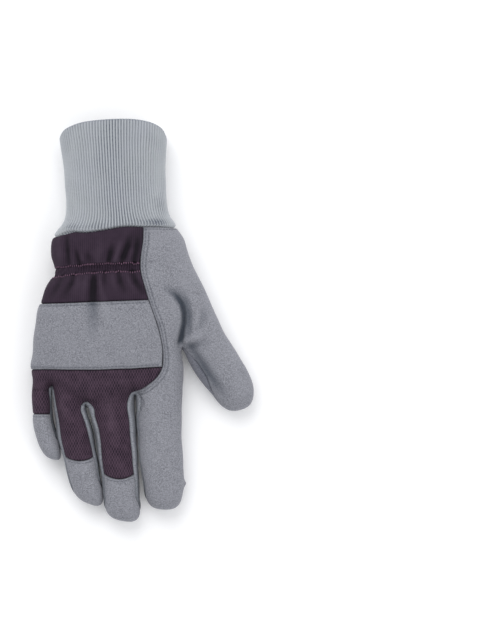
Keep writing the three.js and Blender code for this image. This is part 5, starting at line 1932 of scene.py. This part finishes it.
    def forefinger_palm(self) -> Panel:
        """The forefinger's palm side below the diagonal seam."""
        n = 6
        lefts = [down(x, y) for x, y in DIAGONAL]
        lefts += [web_ray("index_middle", side, -1) for side in (0, -1)]
        rows = [row(THUMB_WEB_LOW, (n, THUMB_WEB))]
        rows += [side_row(left, y, -1, n) for left, y in zip(lefts, (*SIDE_SEAM_Y[:4], LAST_SIDE_SEAM_Y))]
        keys = finger_rows(INDEX, -1, (*INDEX.shaft, *INDEX.cap), PALM_SEAM)
        rows += [row(a, (n // 2, b), (n // 2, c)) for a, b, c in keys]
        return Panel(
            node="forefinger_palm", grids=[np.stack(rows)], wall=self.wall, finish=SUEDE_PALM_SHADED,
            flat=(0.044, 0.131), area=0.0041, held=Held.LAID, surface=self.nub,
        )

    def build(self, skin: Skin, relief: Relief) -> list[bpy.types.Object]:
        """Builds the three pieces."""
        self.panels = [self.back(), self.thumb_palm(), self.forefinger_palm()]
        return build_all(self.panels, skin, relief)


@dataclass
class Fourchettes:
    """The suede strips between the fingers, each up one side, round the crotch and down the next."""

    wall: float = 2.2
    strip_steps: int = 3
    width: float = 0.022
    cuts: dict[str, tuple[float, float]] = field(default_factory=lambda: {
        "index_middle": (0.158, 0.0032), "middle_ring": (0.150, 0.0030), "ring_little": (0.115, 0.0020),
    })
    panels: list[Panel] = field(default_factory=list)

    def strip(self, left_name: str, right_name: str, crotch: str) -> Panel:
        """One strip from fingertip to fingertip.

        Args:
            left_name: The finger on its left.
            right_name: The finger on its right.
            crotch: The crotch between them.

        Returns:
            The strip's panel.
        """
        columns = self.side(left_name, 1)[::-1]
        columns += [(web_ray(crotch, hand, 1), web_ray(crotch, hand, -1)) for hand in (1, 0, -1)]
        columns += self.side(right_name, -1)
        grid = np.stack([row(back, (self.strip_steps, palm)) for back, palm in columns])
        length, area = self.cuts[crotch]
        return Panel(
            node=f"fourchette_{crotch}", grids=[grid], wall=self.wall, finish=SUEDE_GUSSET,
            flat=(self.width, length), area=area, pitch=0.75, roll_depth=0.45, roll_width=1.0, welt=0.5,
            even_rounds=8,
        )

    def side(self, name: str, hand: int) -> list[tuple[Array, Array]]:
        """Pairs of rays down one side of a finger, at its back and palm seams."""
        tube = FINGERS[name]
        pairs = [(finger_ray(tube, s, hand, tube.lift(hand, s)), finger_ray(tube, s, hand, PALM_SEAM))
                 for s in (*tube.shaft, *tube.cap)]
        lifts = (tube.lift(hand, tube.end), PALM_SEAM)
        for step in range(len(TIP_ROWS) - 1):
            pairs.append(tuple(tip_ray(tube, step, hand, lift) for lift in lifts))
        return pairs

    def build(self, skin: Skin, relief: Relief) -> list[bpy.types.Object]:
        """Builds the three strips."""
        self.panels = [
            self.strip("middle", "index", "index_middle"),
            self.strip("ring", "middle", "middle_ring"),
            self.strip("little", "ring", "ring_little"),
        ]
        return build_all(self.panels, skin, relief)


@dataclass
class Palm:
    """The palm with the little finger's side, and the ring and middle fingers' palm sides."""

    wall: float = 2.2
    edge_steps: int = 2
    palm_steps: int = 10
    finger_cuts: dict[str, tuple[float, float, float]] = field(default_factory=lambda: {
        "middle": (0.038, 0.098, 0.0026), "ring": (0.033, 0.090, 0.0021),
    })
    seam_rows: tuple[tuple[float, float, float], ...] = (
        (57.2, 46.5, 66), (48.4, 49.0, 55), (42.4, 50.5, 44),
        (28.5, 51.5, 30), (19.2, 52.5, 16), (4, 53.0, 4),
    )
    panels: list[Panel] = field(default_factory=list)

    def palm_row(self, y: float, right: Array) -> Array:
        """A row from the seam under the left edge across the palm."""
        return row(left_seam(y), (self.edge_steps, down(left_core(y), y)), (self.palm_steps, right))

    def little_row(self, y: float, right: Array) -> Array:
        """A row under the little finger."""
        seam = ray(*finger_point(LITTLE, -y), -90, little_seam(-1))
        return row(seam, (self.edge_steps, finger_ray(LITTLE, -y, 1, -90)), (2, right))

    def spread(self, line: Array, steps: int) -> Array:
        """Spreads the part of a palm row right of its edge over a number of steps.

        Args:
            line: The row of rays.
            steps: The number of steps.

        Returns:
            The row with its new rays.
        """
        head, tail = line[:self.edge_steps + 1], line[self.edge_steps:]
        t = np.linspace(0, len(tail) - 1, steps + 1)[1:]
        k = np.minimum(t.astype(int), len(tail) - 2)
        return np.concatenate([head, between(tail[k], tail[k + 1], (t - k)[:, None])])

    def palm(self) -> Panel:
        """The palm panel."""
        hem = self.palm_row(cuff_seam(-44), hem_edge(HEM_PALM_LIFT))
        hem[:, 1] = CUFF_SEAM.at("y", hem[:, 0])
        hem[0] = left_seam(cuff_seam(-48))
        hem[-1] = hem_edge(HEM_PALM_LIFT)
        grid = [hem] + [self.palm_row(left, down(x, y)) for left, x, y in self.seam_rows]
        grid.append(self.palm_row(-8, THUMB_WEB_LOW))
        grid += [self.palm_row(left, down(*point)) for left, point in zip((-19, -28.5, -38), DIAGONAL)]
        outer_y = CROTCHES["ring_little"][1]
        little = [self.little_row(outer_y, web_ray("ring_little", 0, -1))]
        ring, middle = root_rows("ring", -1)[0], root_rows("middle", -1)[0]
        last = np.concatenate([little[0], ring[1:], middle[1:]])
        body = [self.spread(line, len(last) - 1 - self.edge_steps) for line in grid] + [last]
        little.append(self.little_row(outer_y - WALL_ROW_DROP, web_ray("ring_little", 1, -1)))
        shaft = (*LITTLE.shaft, *LITTLE.cap)
        little += [self.little_row(-s, finger_ray(LITTLE, s, 1, PALM_SEAM)) for s in shaft]
        for step in range(len(TIP_ROWS)):
            seam = tip_ray(LITTLE, step, -1, little_seam(-1))
            right = tip_ray(LITTLE, step, 1, PALM_SEAM)
            little.append(row(seam, (self.edge_steps, tip_ray(LITTLE, step, 0, -1)), (2, right)))
        return Panel(
            node="palm_panel", grids=[np.stack(body), np.stack(little)], wall=self.wall, finish=SUEDE_PALM_SHADED,
            flat=(0.114, 0.176), area=0.0132, held=Held.LAID, roll_width=1.8,
            rows=(StitchRow(0, Side.RIGHT, 1.8, 0.08, 0.97, 0.5),),
        )

    def finger_palm(self, name: str) -> Panel:
        """The palm side of the ring or middle finger."""
        tube = FINGERS[name]
        rows = root_rows(name, -1) + tip_rows(name, -1, (*tube.shaft, *tube.cap))
        return Panel(
            node=f"{name}_finger_palm", grids=[np.stack(rows)], wall=self.wall, finish=SUEDE_PALM_SHADED,
            flat=self.finger_cuts[name][:2], area=self.finger_cuts[name][2], held=Held.LAID,
            rows=(StitchRow(0, Side.FIRST_ROW, 1.7, 0.05, 0.95, 0.5),),
        )

    def build(self, skin: Skin, relief: Relief) -> list[bpy.types.Object]:
        """Builds the palm and the two finger sides."""
        self.panels = [self.palm(), self.finger_palm("middle"), self.finger_palm("ring")]
        return build_all(self.panels, skin, relief)


@dataclass
class Studio:
    """The pale floor, the soft lights and the camera straight above."""

    aim: tuple[float, float] = (0.09842, 0.0074)
    frame_height: float = 0.4736
    subject_height: float = 0.03
    lens: float = 180.0
    sensor: float = 36.0
    floor_size: float = 3.0
    floor_drop: float = 0.0002
    glove_middle: tuple[float, float, float] = (0.01, 0.01, 0.02)
    sky: tuple[float, float, float, float] = (0.97, 0.98, 1.0, 1.0)
    sky_strength: float = 0.76

    def camera(self) -> None:
        """Places the camera so that the frame spans the photograph's height."""
        data = bpy.data.cameras.new("camera")
        data.lens = self.lens
        data.sensor_width = self.sensor
        camera = bpy.data.objects.new("camera", data)
        bpy.context.collection.objects.link(camera)
        distance = self.frame_height * self.lens / self.sensor
        camera.location = (*self.aim, distance + self.subject_height)
        data.clip_end = 20
        bpy.context.scene.camera = camera

    def light(self, name: str, place: tuple[float, float, float], size: float, power: float) -> None:
        """Adds a square soft light that faces the glove.

        Args:
            name: The light's name.
            place: Where it hangs, in metres.
            size: Length of its side, in metres.
            power: Its power in watts.
        """
        data = bpy.data.lights.new(name, "AREA")
        data.size = size
        data.energy = power
        lamp = bpy.data.objects.new(name, data)
        bpy.context.collection.objects.link(lamp)
        lamp.location = place
        heading = Vector(self.glove_middle) - Vector(place)
        lamp.rotation_euler = heading.to_track_quat("-Z", "Y").to_euler()

    def floor(self) -> None:
        """Adds the pale floor."""
        bm = bmesh.new()
        bmesh.ops.create_grid(bm, x_segments=1, y_segments=1, size=self.floor_size)
        bmesh.ops.translate(bm, verts=bm.verts, vec=(0, 0, -self.floor_drop))
        mesh = bpy.data.meshes.new("floor")
        bm.to_mesh(mesh)
        bm.free()
        floor = bpy.data.objects.new("floor", mesh)
        bpy.context.collection.objects.link(floor)
        mesh.materials.append(finish_of(PaleFloor()))

    def build(self) -> None:
        """Makes the world, the floor, the lights and the camera."""
        world = bpy.data.worlds.new("soft_light")
        world.use_nodes = True
        background = world.node_tree.nodes["Background"]
        background.inputs["Color"].default_value = self.sky
        background.inputs["Strength"].default_value = self.sky_strength
        scene = bpy.context.scene
        scene.world = world
        scene.view_settings.view_transform = "Standard"
        self.floor()
        self.light("key", (-0.25, 0.85, 1.2), 1.1, 10.0)
        self.light("fill", (0.9, -0.35, 1.1), 1.2, 4.0)
        self.camera()


def main() -> None:
    """Builds the studio and every sub-assembly of the glove."""
    logging.basicConfig(level=logging.INFO, format="%(message)s")
    Studio().build()
    skin, relief = Skin(), Relief()
    KnitCuff().build(skin)
    parts = [BackOfHand(), ForefingerAndThumb(), Fourchettes(), Palm()]
    threads = [
        Stitching("grey_stitches", GREY_THREAD, "grey"),
        Stitching("plum_stitches", PLUM_THREAD, "plum", length=1.7, pitch=1.85, radius=0.42, upright=True,
                  lift=0.25),
    ]
    for part in parts:
        part.build(skin, relief)
        for panel in part.panels:
            for thread in threads:
                thread.paths += panel.paths.get(thread.colour, [])
    for thread in threads:
        thread.build()


if __name__ == "__main__":
    main()
